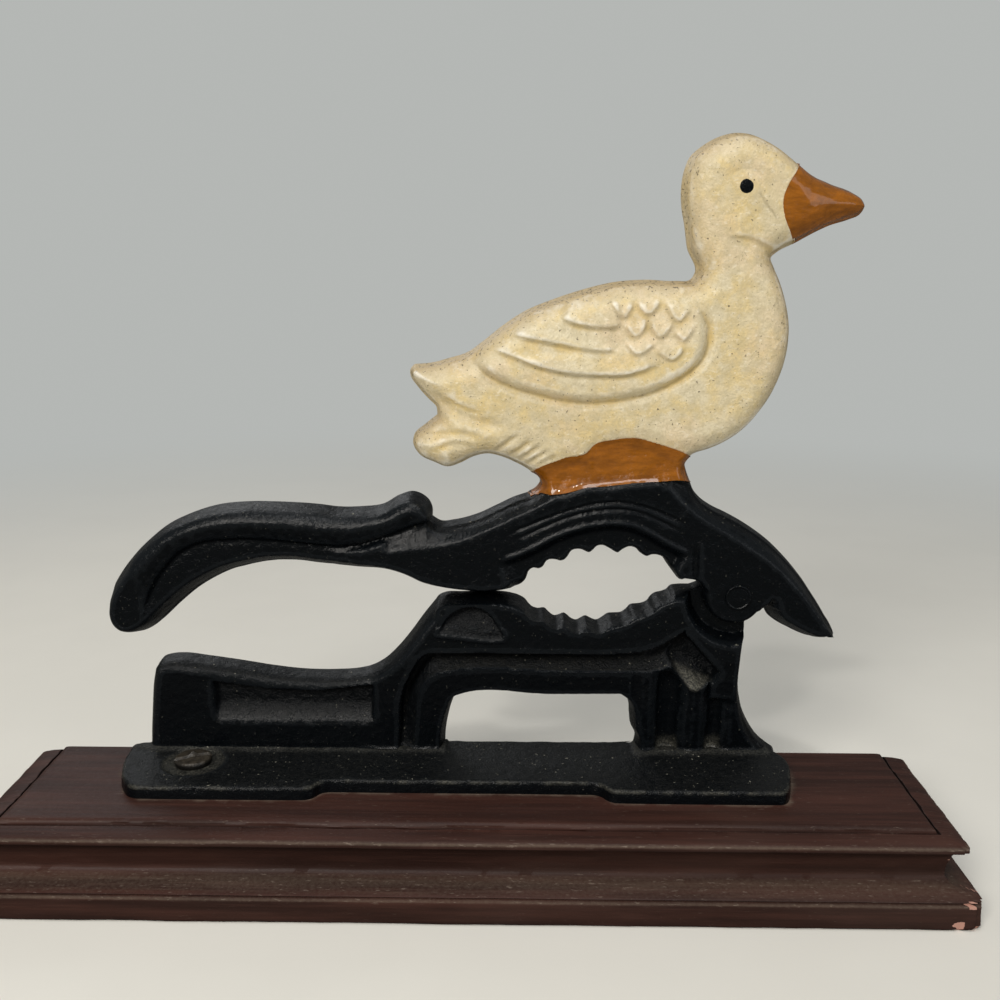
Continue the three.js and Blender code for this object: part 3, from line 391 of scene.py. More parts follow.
def lumps(p, size, seed):
    """Smooth random hills of the size given, from -1 to 1: random numbers on a square net, eased between."""
    q = p / size
    cell = np.floor(q).astype(int)
    f = q - cell
    f = f * f * f * (f * (6 * f - 15) + 10)
    low = cell.min(0)
    net = np.random.default_rng(seed).uniform(-1, 1, tuple(cell.max(0) - low + 2))
    i, j = (cell - low).T
    top = net[i, j + 1] * (1 - f[:, 0]) + net[i + 1, j + 1] * f[:, 0]
    return (net[i, j] * (1 - f[:, 0]) + net[i + 1, j] * f[:, 0]) * (1 - f[:, 1]) + top * f[:, 1]


def bell(x, centre, width):
    """1 at the centre, and falling off on both sides as the exponential of minus the square."""
    return np.exp(-(((x - centre) / width) ** 2))


def part_way(a, b):
    """How far a point lies from one line towards another, from its distances: a over a plus b, 0 where a
    is negative."""
    near = np.clip(a, 0, None)
    return near / (near + b + TINY)


def scratch(p, line, width, fade=0.12):
    """1 on the line and falling off as a bell over the width, and away to nothing at both its ends."""
    dist, _, way, _ = nearest(p, flowing(line))
    return bell(dist, 0, width) * ease(0, fade, way) * ease(0, fade, 1 - way)


def shingle(p, line, rise, run, fade=0.12):
    """A feather's edge: on the left of the line the surface stands up by rise and sinks back over the run."""
    dist, _, way, side = nearest(p, flowing(line))
    s = dist * side
    lip = rise * ease(-1.0, 1.0, s) * np.exp(-np.maximum(s - 0.8, 0) / run)
    return lip * ease(0, fade, way) * ease(0, fade, 1 - way)


# Making meshes


BACK_SPACING = 1.6
FLANK_STEPS, FLANK_BULGE, FLANK_LUMPS = 4, 0.10, 0.07
LEAN_REACH = 2.2


def make_object(name, verts, faces, attributes=None, sharp=None):
    """A mesh object at the origin, its vertices given in millimetres in the part's frame."""
    mesh = bpy.data.meshes.new(name)
    mesh.from_pydata((np.asarray(verts) * MM).tolist(), [], faces)
    mesh.validate()
    mesh.polygons.foreach_set("use_smooth", np.ones(len(mesh.polygons), bool))
    normals = np.zeros(3 * len(mesh.vertices), np.float32)
    mesh.vertices.foreach_get("normal", normals)
    for key, values in {**(attributes or {}), "up": normals[2::3]}.items():
        layer = mesh.attributes.new(key, "FLOAT", "POINT")
        layer.data.foreach_set("value", np.asarray(values, np.float32))
    if sharp is not None:
        mesh.set_sharp_from_angle(angle=np.radians(sharp))
    mesh.update()
    obj = bpy.data.objects.new(name, mesh)
    bpy.context.scene.collection.objects.link(obj)
    return obj


def hollows(heights, faces, rounds=14):
    """How far each vertex lies below the mean of its neighbourhood, found by averaging along the edges."""
    f = np.asarray(faces)
    a, b = f.ravel(), np.roll(f, -1, axis=1).ravel()
    n = len(heights)
    count = np.bincount(a, minlength=n) + np.bincount(b, minlength=n) + 1e-9
    mean = heights.copy()
    for _ in range(rounds):
        total = np.bincount(a, mean[b], minlength=n) + np.bincount(b, mean[a], minlength=n)
        mean = 0.5 * mean + 0.5 * total / count
    return mean - heights


def paved(loops, spacing, extra=None):
    """Triangles that fill the loops: staggered rows of points inside them, joined up with the loops' own
    points so that each triangle's circle holds no other point. The loops' points come first."""
    rim = np.concatenate(loops)
    edges, start = [], 0
    for loop in loops:
        k = np.arange(start, start + len(loop))
        edges.append(np.stack([k, np.roll(k, -1)], axis=1))
        start += len(loop)
    low, high = rim.min(0), rim.max(0)
    rows = np.arange(low[1], high[1], spacing * 0.866)
    cols = np.arange(low[0], high[0], spacing)
    x = cols[None] + 0.5 * spacing * (np.arange(len(rows)) % 2)[:, None]
    p = np.stack([x.ravel(), np.repeat(rows, len(cols))], axis=1)
    if extra is not None:
        p = np.concatenate([p, extra])
    p = p[inside(p, loops)]
    gap = np.min([nearest(p, loop, True)[0] for loop in loops], axis=0)
    p = p[gap > 0.3 * min(spacing, 0.6)]
    points = np.concatenate([rim, p])
    made = geometry.delaunay_2d_cdt(points.tolist(), np.concatenate(edges).tolist(), [], 0, 1e-6)
    out = np.array([tuple(v) for v in made[0]])
    if len(out) != len(points) or np.abs(out - points).max() > 1e-3:
        raise RuntimeError("an outline crosses itself")
    tris = np.array(made[2])
    mid = points[tris].mean(1)
    tris = tris[inside(mid, loops)]
    a, b, c = (points[tris[:, i]] for i in range(3))
    flip = (b[:, 0] - a[:, 0]) * (c[:, 1] - a[:, 1]) < (b[:, 1] - a[:, 1]) * (c[:, 0] - a[:, 0])
    tris[flip] = tris[flip][:, ::-1]
    return points, tris


def outward(loops):
    """The direction away from the inside at each of the loops' points: square to the line between the two
    points beside it."""
    found = []
    for loop in loops:
        t = np.roll(loop, -1, axis=0) - np.roll(loop, 1, axis=0)
        length = np.maximum(np.linalg.norm(t, axis=1, keepdims=True), 1e-9)
        found.append(np.stack([t[:, 1], -t[:, 0]], axis=1) / length)
    return np.concatenate(found)


def flank(loops, ring_start):
    """Triangles between each ring of the loops' points and the next, the rings numbered from ring_start."""
    faces, begin = [], 0
    for loop in loops:
        k = np.arange(begin, begin + len(loop))
        n = np.roll(k, -1)
        begin += len(loop)
        for low, high in zip(ring_start[:-1], ring_start[1:]):
            faces.append(np.stack([n + low, k + low, k + high], axis=1))
            faces.append(np.stack([n + low, k + high, n + high], axis=1))
    return faces


def relief(name, loops, silhouette, front, back, place, spacing=0.45, draft=0.55, proud=0.0, extra=None):
    """A flat-backed casting. The front is a height over every point inside the loops, with the height and
    the masks from front(points, depth in from the silhouette, outward direction). The flank leans in by
    the draft between the back and the front's edge, and the back is paved more coarsely."""
    loops = [turned_left(loop) if i == 0 else turned_left(loop)[::-1] for i, loop in enumerate(loops)]
    p, tris = paved(loops, spacing)
    rim_count = sum(len(loop) for loop in loops)
    found = [nearest(p, loop, True) for loop in silhouette]
    sd = np.min([f[0] for f in found], axis=0)
    pick = np.argmin([f[0] for f in found], axis=0)
    out = np.choose(pick[:, None], [f[1] for f in found]) - p
    size = np.linalg.norm(out, axis=1, keepdims=True)
    out = np.where(size > 1e-3, out / np.maximum(size, 1e-9), 0)
    rim_out = outward(loops)
    out[:rim_count] = rim_out
    height, masks = front(p, sd, out)
    lean = (draft - proud) * np.clip(1 - sd / LEAN_REACH, 0, 1) ** 2
    shifted = p - out * lean[:, None]

    back_p, back_tris = paved(loops, BACK_SPACING, extra)
    back_height = back(back_p)
    back_shift = back_p.copy()
    near_rim = nearest(back_p[:rim_count], silhouette[0], True)[0] < 0.3
    back_shift[:rim_count] += rim_out * (proud * near_rim)[:, None]
    rows = np.linspace(0, 1, FLANK_STEPS + 1)[1:-1]
    wall = []
    for f in rows:
        bulge = FLANK_BULGE * np.sin(np.pi * f) + FLANK_LUMPS * lumps(p[:rim_count] + 91 * f, 3.0, 5)
        q = shifted[:rim_count] * (1 - f) + back_shift[:rim_count] * f + rim_out * bulge[:, None]
        wall.append(np.column_stack([q, height[:rim_count] * (1 - f) + back_height[:rim_count] * f]))
    cloud = np.concatenate([
        np.column_stack([shifted, height]), *wall, np.column_stack([back_shift, back_height])
    ])
    ring_start = [0] + [len(p) + k * rim_count for k in range(len(rows) + 1)]
    back_faces = back_tris[:, ::-1] + ring_start[-1]
    faces = np.concatenate([tris, *flank(loops, ring_start), back_faces])

    attributes = {}
    masks = {"hollow": hollows(height, tris) * ease(0.3, 2.0, sd), "rim": sd, **masks}
    for key, values in masks.items():
        attributes[key] = np.zeros(len(cloud))
        attributes[key][: len(p)] = values
    return make_object(name, place(cloud), faces.tolist(), attributes, sharp=50)


def band(low, high, count):
    """Quads between two rings of count points, numbered from low and from high."""
    k = np.arange(count)
    n = np.roll(k, -1)
    return np.stack([k + low, n + low, n + high, k + high], axis=1)


def turned_piece(name, centre, along, profile, sides=72, height=None):
    """A piece turned on the lathe: the profile's (radius, place) pairs carried round an axis along Y or Z.
    height(x, y, place) may change the place of each vertex, as for a slot. Both ends close in a point."""
    prof = np.array(profile, float)
    angle = np.linspace(0, 2 * np.pi, sides, endpoint=False)
    r, s = prof[1:-1, 0][:, None], prof[1:-1, 1][:, None]
    u, v = r * np.cos(angle), r * np.sin(angle)
    s = s + 0 * u
    if height is not None:
        s = height(u, v, s)
    ring = np.stack([u.ravel(), v.ravel(), s.ravel()], axis=1)
    ends = np.array([[0, 0, prof[0, 1]], [0, 0, prof[-1, 1]]])
    if height is not None:
        ends[:, 2] = height(ends[:, 0], ends[:, 1], ends[:, 2])
    cloud = np.concatenate([ring, ends])
    if along == "Y":
        verts = np.column_stack([centre[0] + cloud[:, 0], cloud[:, 2], centre[1] + cloud[:, 1]])
    else:
        verts = np.column_stack([centre[0] + cloud[:, 0], centre[1] + cloud[:, 1], cloud[:, 2]])
    k = np.arange(sides)
    n = np.roll(k, -1)
    faces = []
    for row in range(len(prof) - 3):
        faces += band(row * sides, (row + 1) * sides, sides).tolist()
    last, first_end = (len(prof) - 3) * sides, len(ring)
    faces += np.stack([n, k, np.full(sides, first_end)], axis=1).tolist()
    faces += np.stack([k + last, n + last, np.full(sides, first_end + 1)], axis=1).tolist()
    a, b, c = (verts[np.array([f[:3] for f in faces])[:, i]] for i in range(3))
    volume = np.einsum("ij,ij->i", a - verts.mean(0), np.cross(b - a, c - a)).sum()
    if volume < 0:
        faces = [f[::-1] for f in faces]
    return make_object(name, verts, faces, sharp=40)


# Shader maths


class Shade:
    """One value in a material. Sums, products and powers of it add Math nodes."""

    def __init__(self, finish, socket):
        self.finish, self.socket = finish, socket

    def math(self, operation, first, second=None):
        inputs = {0: first} if second is None else {0: first, 1: second}
        return self.finish.node("ShaderNodeMath", {"operation": operation}, inputs)

    def __add__(self, other):
        return self.math("ADD", self, other)

    def __sub__(self, other):
        return self.math("SUBTRACT", self, other)

    def __rsub__(self, other):
        return self.math("SUBTRACT", other, self)

    def __mul__(self, other):
        return self.math("MULTIPLY", self, other)

    __radd__, __rmul__ = __add__, __mul__

    def limited(self):
        return self.finish.node("ShaderNodeClamp", {}, {"Value": self})

    def between(self, low, high):
        """0 at low, 1 at high, eased."""
        return self.finish.node(
            "ShaderNodeMapRange", {"interpolation_type": "SMOOTHSTEP"}, {"Value": self, 1: low, 2: high}
        )


class Finish:
    """The nodes of a material or of the world. Each comes from node(), with its settings first and then its
    sockets."""

    def __init__(self, owner):
        owner.use_nodes = True
        self.owner, self.tree = owner, owner.node_tree
        self.tree.nodes.clear()

    def node(self, kind, settings, inputs, output=0):
        made = self.tree.nodes.new(kind)
        for key, value in settings.items():
            setattr(made, key, value)
        for key, value in inputs.items():
            if isinstance(value, Shade):
                self.tree.links.new(value.socket, made.inputs[key])
            else:
                made.inputs[key].default_value = value
        return None if output is None else Shade(self, made.outputs[output])

    def place(self):
        """Where a point lies, in metres in the part's frame."""
        return self.node("ShaderNodeTexCoord", {}, {}, "Object")

    def noise(self, size, detail=4.0, rough=0.55, stretch=(1, 1, 1)):
        """Noise whose hills are size millimetres apart, from 0 to 1, longer where stretch is over 1."""
        inputs = {"Vector": self.place(), "Scale": tuple(1 / s for s in stretch)}
        where = self.node("ShaderNodeMapping", {"vector_type": "POINT"}, inputs)
        inputs = {"Vector": where, "Scale": 1 / (size * MM), "Detail": detail, "Roughness": rough}
        return self.node("ShaderNodeTexNoise", {}, inputs)

    def attribute(self, name):
        return self.node("ShaderNodeAttribute", {"attribute_name": name}, {}, "Fac")

    def mix(self, amount, first, second):
        """The first colour where amount is 0, the second where it is 1."""
        a, b = (c if isinstance(c, Shade) else (*c[:3], 1.0) for c in (first, second))
        settings = {"data_type": "RGBA", "clamp_factor": True}
        return self.node("ShaderNodeMix", settings, {0: amount, 6: a, 7: b}, 2)

    def bumped(self, height, strength):
        """A normal tilted by a height in millimetres."""
        return self.node("ShaderNodeBump", {}, {"Height": height, "Distance": MM, "Strength": strength})

    def surface(self, base, rough, normal, coat=0.0, coat_rough=0.1, specular=0.5, metallic=0.0):
        """The finished material: base colour, roughness and normal under a clear coat."""
        shader = self.node("ShaderNodeBsdfPrincipled", {}, {
            "Base Color": base, "Roughness": rough, "Normal": normal, "Metallic": metallic,
            "Specular IOR Level": specular, "Coat Weight": coat, "Coat Roughness": coat_rough,
        })
        return self.ended(shader)

    def ended(self, shader, kind="ShaderNodeOutputMaterial"):
        """Leads the shader to the output, and gives back what it was made for."""
        self.node(kind, {}, {"Surface": shader}, None)
        return self.owner


def new_finish(name):
    """The empty finish of a new material."""
    return Finish(bpy.data.materials.new(name))


def tinted(colour, *shares):
    """The colour with each of its channels multiplied: by one share, or by a share for each channel."""
    return tuple(c * k for c, k in zip(colour, shares if len(shares) == 3 else 3 * shares))


def dressed(obj, material, body, slot, *nodes):
    """Puts the material on a piece and ties it to its body and the nodes it stands for; slot is not used."""
    obj.data.materials.clear()
    obj.data.materials.append(material)
    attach(obj, body)
    if nodes:
        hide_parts(*nodes)
    return obj


# Heights of the castings' fronts, in millimetres in front of their flat backs


def on_casting(cloud):
    """Across, up and forward of the back become the part's own x, y and z."""
    return np.column_stack([PIN_X + cloud[:, 0], CASTING_BACK - cloud[:, 2], PLATE_TOP + cloud[:, 1]])


def flat_back(p):
    """The back of a casting: flat, with the slight hollows of a sand mould."""
    return 0.12 + 0.06 * lumps(p, 9.0, 3) + 0.04 * lumps(p, 3.0, 4)


def signed(p, line):
    """Distance to a line, positive on its left, and the way along it."""
    dist, _, way, side = nearest(p, flowing(line))
    return dist * side, way


def within(p, loop):
    """Distance in from a closed loop, negative outside it."""
    return nearest(p, loop, True)[0] * np.where(inside(p, [loop]), 1, -1)


def edge_of(sd, edge, full, width, corner=0.7):
    """A flat bevel from the edge's height up to the full height over the width, its corner rounded."""
    return softer(edge + (full - edge) * sd / width, full, corner)


def casting_grain(p, seed, finest):
    """Unevenness of a sand casting, as hills of three sizes, the finest by the share given."""
    return 0.6 * lumps(p, 6.5, seed) + 0.35 * lumps(p, 2.2, seed + 1) + finest * lumps(p, 1.1, seed + 2)


LEVER_DEPTH = 10.2
LEVER_EDGE, LEVER_EDGE_CHANGE = 5.6, 4.2
BEVEL_AT_EDGE, BEVEL_AT_GROOVE = 5.4, 7.8
HANDLE_BAND, BAND_BY_GROOVE = 7.75, 7.6
TAIL_FALL = 4.6
BEAD_RISE, ARCH_SINK = 0.5, 2.1
CHEEK_RISE, CHEEK_GROOVE, CHEEK_LEFT = 0.45, 0.7, -11.6
UPPER_TOOTH_EDGE, UPPER_TOOTH_BEVEL = 6.6, 1.1
TIP_EDGE, TIP_DEPTH, TIP_SLOPE = 2.6, 9.4, 2.4
FINGER_SECTION = (
    (0, 7.5), (0.05, 8.1), (0.12, 8.9), (0.22, 9.5), (0.34, 9.95), (0.48, 10.3), (0.58, 10.35),
    (0.66, 10.1), (0.74, 9.6), (0.80, 9.1), (0.86, 8.4), (0.91, 7.5), (0.96, 6.2), (1.0, 4.8),
)


def lever_height(p, sd, out, sizes):
    """The black lever: a half-round finger over a lower band, a body bevelled along its top, a bead and two
    fine grooves over the toothed arch, a raised cheek on the pivot and a ridged tail."""
    x, z = p.T
    groove, _ = signed(p, FINGER_GROOVE)
    bevel, bevel_way = signed(p, BEVEL_FOOT)
    by_groove = part_way(sd, np.abs(groove))
    foot = BEVEL_AT_EDGE * (1 - by_groove) + BEVEL_AT_GROOVE * by_groove
    fall = (LEVER_DEPTH - foot) * part_way(bevel, np.minimum(sd, np.abs(groove))) * ease(0, 0.1, bevel_way)
    lower_band = HANDLE_BAND + (LEVER_DEPTH - HANDLE_BAND) * ease(-112, -92, x)
    body = softer(LEVER_DEPTH - fall, lower_band, 0.5)
    body = body - (body - BAND_BY_GROOVE) * (1 - ease(0, 1.6, -groove)) * (groove < 0) * (x < -86)
    ridge, _ = signed(p, TAIL_RIDGE)
    body = softer(body, LEVER_DEPTH - TAIL_FALL * part_way(ridge, sd), 1.3)
    bead, bead_way = signed(p, JAW_BEAD)
    held = ease(0, 0.08, bead_way) * ease(0, 0.05, 1 - bead_way)
    body = body + held * (BEAD_RISE * bell(bead, 0, 0.6) - ARCH_SINK * ease(0.1, 2.8, -bead))
    for line in ARCH_LINES:
        body = body - sizes.groove_depth / MM * 0.8 * scratch(p, line, 0.5)
    body = body + CHEEK_RISE * ease(-11.2, -10.0, x) * (1 - ease(58, 66, z))
    body = body - CHEEK_GROOVE * bell(x, CHEEK_LEFT, 0.8) * ease(48, 51, z) * (1 - ease(57, 61, z))
    lug = ease(10.2, 9.0, np.hypot(x - LUG_CENTRE[0], z - LUG_CENTRE[1])) * ease(52, 47, z)
    down = ease(0.1, -0.6, out[:, 1]) * (1 - lug) * (1 - ease(-17.0, -15.5, x) * (x < 6))
    tooth = (nearest(p, flowing(UPPER_TEETH))[0] < sd + 0.3) * ease(-60.5, -56.0, x) * ease(-13.0, -16.0, x)
    edge = LEVER_EDGE + LEVER_EDGE_CHANGE * (lug - down)
    width = 1.7 - 0.8 * lug + 1.5 * down
    edge, width = edge + (UPPER_TOOTH_EDGE - edge) * tooth, width + (UPPER_TOOTH_BEVEL - width) * tooth
    body = edge_of(sd, edge, body, width)
    finger = np.interp(part_way(groove, sd), *zip(*FINGER_SECTION))
    tip = ease(-156.5, -161.5, x + 0.35 * (z - 40))
    rounded_tip = softer(TIP_EDGE + TIP_SLOPE * sd, TIP_DEPTH, 3.0)
    return np.where(groove > 0, finger, body) * (1 - tip) + rounded_tip * tip


MOUND_DEPTH, MOUND_EDGE = 7.5, 4.8
FLARE_TO_LEVER, FLARE_TO_GOOSE = 1.6, 0.9


def mound_height(p, sd, below, above):
    """The orange mound: hollow between the lever and the goose, flaring out to each."""
    flare = FLARE_TO_LEVER * np.exp(-np.maximum(below, 0) / 2.0) + FLARE_TO_GOOSE * ease(-3.2, 0.6, above)
    return edge_of(sd, MOUND_EDGE, MOUND_DEPTH + 0.4 * lumps(p, 7.0, 21) + flare, 2.6, 1.2)


def wing_place(p):
    """How far in from the wing's outline a point lies, and 1 near its lower edge to 0 near its upper one."""
    lower, upper = (nearest(p, flowing(line))[0] for line in (WING_LOWER, WING_UPPER))
    return within(p, joined(WING_LOWER, WING_UPPER)), ease(-3.0, 4.0, upper - lower)


GOOSE_DEPTH, DOME_RISE = 7.6, 1.85
BILL_FALL, TAIL_END_FALL = 2.6, 1.5
GOOSE_EDGE, EDGE_FALL, FLANK_WIDTH = 2.6, 1.4, 6.5
EYE_RING, EYE_RING_RISE = 2.6, 0.16
CHEEK_STEP = 1.15


def goose_height(p, sd, out, sizes):
    """The goose: a flank rounded as a quarter of an ellipse runs into a gentle dome, with a raised wing of
    overlapping feathers and scales, tail lobes, a brow, and a cheek that stands over the neck."""
    x, z = p.T
    deep = sizes.groove_depth / MM
    t = np.clip(sd / (sizes.goose_roundness / MM), 0, 1)
    bill = ease(9.0, 27.0, x) * (z > 136)
    dome = GOOSE_DEPTH + DOME_RISE * np.sqrt(1 - (1 - t) ** 2)
    dome = dome - BILL_FALL * bill - TAIL_END_FALL * ease(-62, -84, x)
    down = ease(0.3, -0.7, out[:, 1])
    edge = GOOSE_EDGE - EDGE_FALL * down
    quarter = np.sqrt(1 - (1 - np.clip(sd / FLANK_WIDTH, 0, 1)) ** 2)
    h = softer(edge + (dome - edge) * quarter, 1.4 + 3.0 * sd + 9.0 * (1 - down), 0.8)
    in_wing, low = wing_place(p)
    h = h + sizes.wing_rise / MM * ease(-0.7, 2.2, in_wing) * (0.25 + 0.75 * low)
    h = h - 1.7 * deep * low * bell(in_wing, -0.8, 1.0)
    held = ease(0.0, 3.0, in_wing)
    for line in FEATHERS:
        h = h + held * (shingle(p, line, 2.2 * deep, 4.2) - 0.9 * deep * scratch(p, line, 0.9))
    for line in SCALLOPS:
        h = h + held * (shingle(p, line, 1.5 * deep, 2.8, 0.25) - 0.6 * deep * scratch(p, line, 0.8, 0.25))
    for line, depth, width in TAIL_GROOVES:
        h = h - depth * scratch(p, line, width, 0.3)
    for line in COMB_STROKES:
        h = h - 1.2 * deep * scratch(p, line, 0.62, 0.35)
    from_eye = np.hypot(x - EYE[0], z - EYE[1])
    h = h + EYE_RING_RISE * bell(from_eye, EYE_RING, 1.4) - 0.22 * scratch(p, BROW, 0.9, 0.3)
    h = h - 0.12 * scratch(p, HAIR_CRACK, 0.3, 0.1)
    fold, way = signed(p, CHEEK_FOLD)
    under = ease(0.9, -0.9, fold) * np.exp(-np.maximum(-fold, 0) / 6.0)
    return h - CHEEK_STEP * under * ease(0, 0.45, way) * ease(-12, -6, x)


SHADE_AND_DIRT_LINES = (
    (FEATHERS, 0.5, 0.7), (SCALLOPS, 0.4, 0.35), (COMB_STROKES, 0.4, 0.8), ((BROW, CHEEK_FOLD), 0.35, 0.4),
)


def goose_lines(p):
    """Thin dark lines of painted shade with some old dirt: along the wing's lower edge, the feathers, the
    scales, the comb strokes, the brow and the fold under the cheek; and a hair crack from the eye and a
    chip on the tail's tip."""
    in_wing, low = wing_place(p)
    shade_and_dirt = 0.8 * low * bell(in_wing, -0.5, 0.45)
    for lines, width, strength in SHADE_AND_DIRT_LINES:
        for line in lines:
            shade_and_dirt = np.maximum(shade_and_dirt, strength * scratch(p, line, width, 0.25))
    shade_and_dirt = np.maximum(shade_and_dirt, scratch(p, HAIR_CRACK, 0.28, 0.1))
    return np.maximum(shade_and_dirt, 1.6 * ease(1.5, 0.7, np.hypot(p[:, 0] - TAIL_CHIP[0], p[:, 1] - TAIL_CHIP[1])))


def lever_casting_height(p, sd, out, sizes):
    """The whole upper casting's front: lever, mound and goose run into each other along the paint lines."""
    below, _ = signed(p, MOUND_LOWER)
    above, _ = signed(p, MOUND_UPPER)
    mound = mound_height(p, sd, below, above)
    x, z = p.T
    a = ease(-1.4, 1.2, below) * ease(-57.6, -56.2, x)
    h = lever_height(p, sd, out, sizes) * (1 - a) + mound * a
    b = ease(-1.2, 3.2, above) * ease(74.5, 77.5, z)
    h = h * (1 - b) + goose_height(p, sd, out, sizes) * b
    return h + sizes.casting_lumps / MM * casting_grain(p, 31, 0.22)


LAP = 0.5


def lapped(p, *lines):
    """How far a paint's casting sinks where the next paint laps over it, beyond the lines' left side."""
    beyond = np.max([signed(p, line)[0] for line in lines], axis=0)
    return LAP * ease(0.0, LAP, beyond)


BASE_DEPTH = 10.2
REST_DEPTH, REST_SLOPE = 6.9, 0.035
BASE_EDGE_FALL, REST_EDGE_FALL = 3.2, 2.0
JAW_FLOOR, LOWER_TOOTH_FALL, LOWER_TOOTH_SLOPE = 4.6, 5.0, 14
POCKET_FLOOR, CHANNEL_FLOOR, PIVOT_FLOOR, MOON_FLOOR, WEDGE_FLOOR = 4.1, 4.5, 4.6, 6.9, 4.4
PIVOT_POCKET = 11.9
FOOT_FILLET, FOOT_FILLET_RISE = 1.7, 0.8


def rest_pocket(x, z):
    """1 in the pocket under the handle rest and 0 outside, with a slope at its foot and under its top."""
    top = np.interp(x, [-142.7, -128, -113, -98], [20.4, 18.2, 17.8, 19.8])
    floor = np.interp(z, [7.4, 8.6, 12.6, 13.4, 40], [1, 0.9, 0.05, 0, 0])
    pocket = 1 - np.maximum(floor, ease(-1.2, 0.1, z - top))
    return pocket * ease(-143.4, -141.6, x) * (1 - ease(-99.4, -97.8, x)) * (z > 7.0)


def window_channel(p):
    """How deep the channel round the window is cut, from 0 to 1, and how rough it is."""
    depth_in = within(p, np.concatenate([flowing(CHANNEL_OUTER), flowing(CHANNEL_INNER)]))
    outer, inner = (nearest(p, flowing(line))[0] for line in (CHANNEL_OUTER, CHANNEL_INNER))
    across = part_way(outer, inner)
    cut = np.interp(across, [0, 0.13, 0.26, 0.4, 1.0], [0, 0.86, 1.0, 0.98, 0.16]) * (depth_in > 0)
    return cut, (depth_in > 0) * ease(0.1, 0.3, across)


def half_moon(p, h):
    """The height with the half moon sunk into it and a lip along its straight side, and how rough it is."""
    z = p[:, 1]
    depth_in = within(p, turned_left(flowing(HALF_MOON + HALF_MOON[:1])))
    floor = MOON_FLOOR + 2.7 * ease(42.0, 35.2, z)
    h = np.where(depth_in > -0.4, h - (h - floor) * ease(0.0, 0.9, depth_in), h)
    return h + 0.35 * bell(depth_in, -0.3, 0.7) * (z < 37) * (z > 33), ease(0, 0.6, depth_in)


def wedge_hollow(p, h):
    """The height with the three-cornered hollow sunk into it, how rough it is and how dusty: the dust on its
    raised floor also paints the light that floor catches. Its floor rises evenly to the lower left."""
    x, z = p.T
    depth_in = within(p, turned_left(joined(*zip(TRIANGLE, TRIANGLE[1:] + TRIANGLE[:1]))))
    floor = WEDGE_FLOOR + 5.6 * np.clip(-((x + 16.4) * 0.428 + (z - 29.1) * 0.903) / 6.3, 0, 1)
    h = np.where(depth_in > -0.2, h - (h - floor) * ease(-0.1, 1.0, depth_in), h)
    return h, ease(0, 0.8, depth_in), 0.6 * ease(0, 1.0, depth_in) * ease(5.6, 7.6, floor)


def fluted_legs(p, sd):
    """How far the legs' ribs stand out and their flutes sink, and the dust that has settled at their feet."""
    x, z = p.T
    legs = np.where(x < -6.0, ease(26.5, 20.5, z + 0.15 * (x + 12)), ease(17.2, 15.4, z)) * ease(-28, -25, x)
    section = np.interp(x + 0.25 * lumps(p, 5.0, 45), *zip(*LEG_SECTION))
    settled = ease(5.0, 1.0, z + 0.8 * lumps(p, 1.6, 46)) * legs * ease(-1.0, -2.6, section)
    return section * legs * ease(0.2, 1.6, sd), 0.4 * settled


def base_height(p, sd, out, sizes):
    """The lower casting: handle rest wall with a pocket, post with a half moon, a channel round the window,
    the toothed jaw, fluted legs with a three-cornered hollow and the pocket round the pivot."""
    x, z = p.T
    post = ease(-104, -88, x)
    wall = REST_DEPTH + REST_SLOPE * z
    full = wall * (1 - post) + np.interp(z, [0, 12, 28, 60], [6.6, 8.4, BASE_DEPTH, BASE_DEPTH]) * post
    rest = ease(-96, -104, x)
    fall = BASE_EDGE_FALL + (REST_EDGE_FALL - BASE_EDGE_FALL) * rest
    width = (1.3 + 0.9 * ease(0.0, 0.6, out[:, 1])) * (1 - rest) + 2.0 * rest
    jaw = (z > 33) & (x < -11) & (x > -81) & (nearest(p, flowing(JAW_RIM))[0] < 7)
    over, _ = signed(p, JAW_RIM)
    behind = -softer(-softer(full - 2.2 * over, full, 0.9), -(full - JAW_FLOOR), 1.2)
    teeth = np.minimum(behind, full - LOWER_TOOTH_FALL + LOWER_TOOTH_SLOPE * sd)
    h = np.where(jaw, teeth, edge_of(sd, full - fall, full, width, 1.1 + 0.6 * rest))
    # the rest's rough top edge; through the black enamel's dust and specks it also paints a broken highlight
    # along it
    rough_edge_and_glint = 0.8 * rest * ease(0.2, 0.6, out[:, 1]) * bell(sd, 1.2, 0.9)

    pocket = rest_pocket(x, z)
    h = h - (full - POCKET_FLOOR) * pocket
    cut, channel_rough = window_channel(p)
    h = h - (full - CHANNEL_FLOOR) * cut
    h, moon_rough = half_moon(p, h)
    h, wedge_rough, wedge_dust_and_light = wedge_hollow(p, h)
    flutes, settled = fluted_legs(p, sd)
    h = h + flutes
    r = np.hypot(x - PIN[0], z - PIN[1])
    round_pin = PIVOT_FLOOR + np.maximum(0, (r - PIVOT_POCKET) * 2.6)
    h = softer(h, np.where(r < 20, round_pin, h + 9), 0.5)
    h = h + FOOT_FILLET_RISE * np.clip(1 - z / FOOT_FILLET, 0, 1) ** 2

    rough = np.max([rough_edge_and_glint, pocket, channel_rough, moon_rough, wedge_rough], axis=0)
    grain = casting_grain(p, 41, 0.25) + 0.7 * rough * lumps(p, 1.6, 44)
    return h + sizes.casting_lumps / MM * grain, rough, np.maximum(wedge_dust_and_light, settled)


# What a user would change


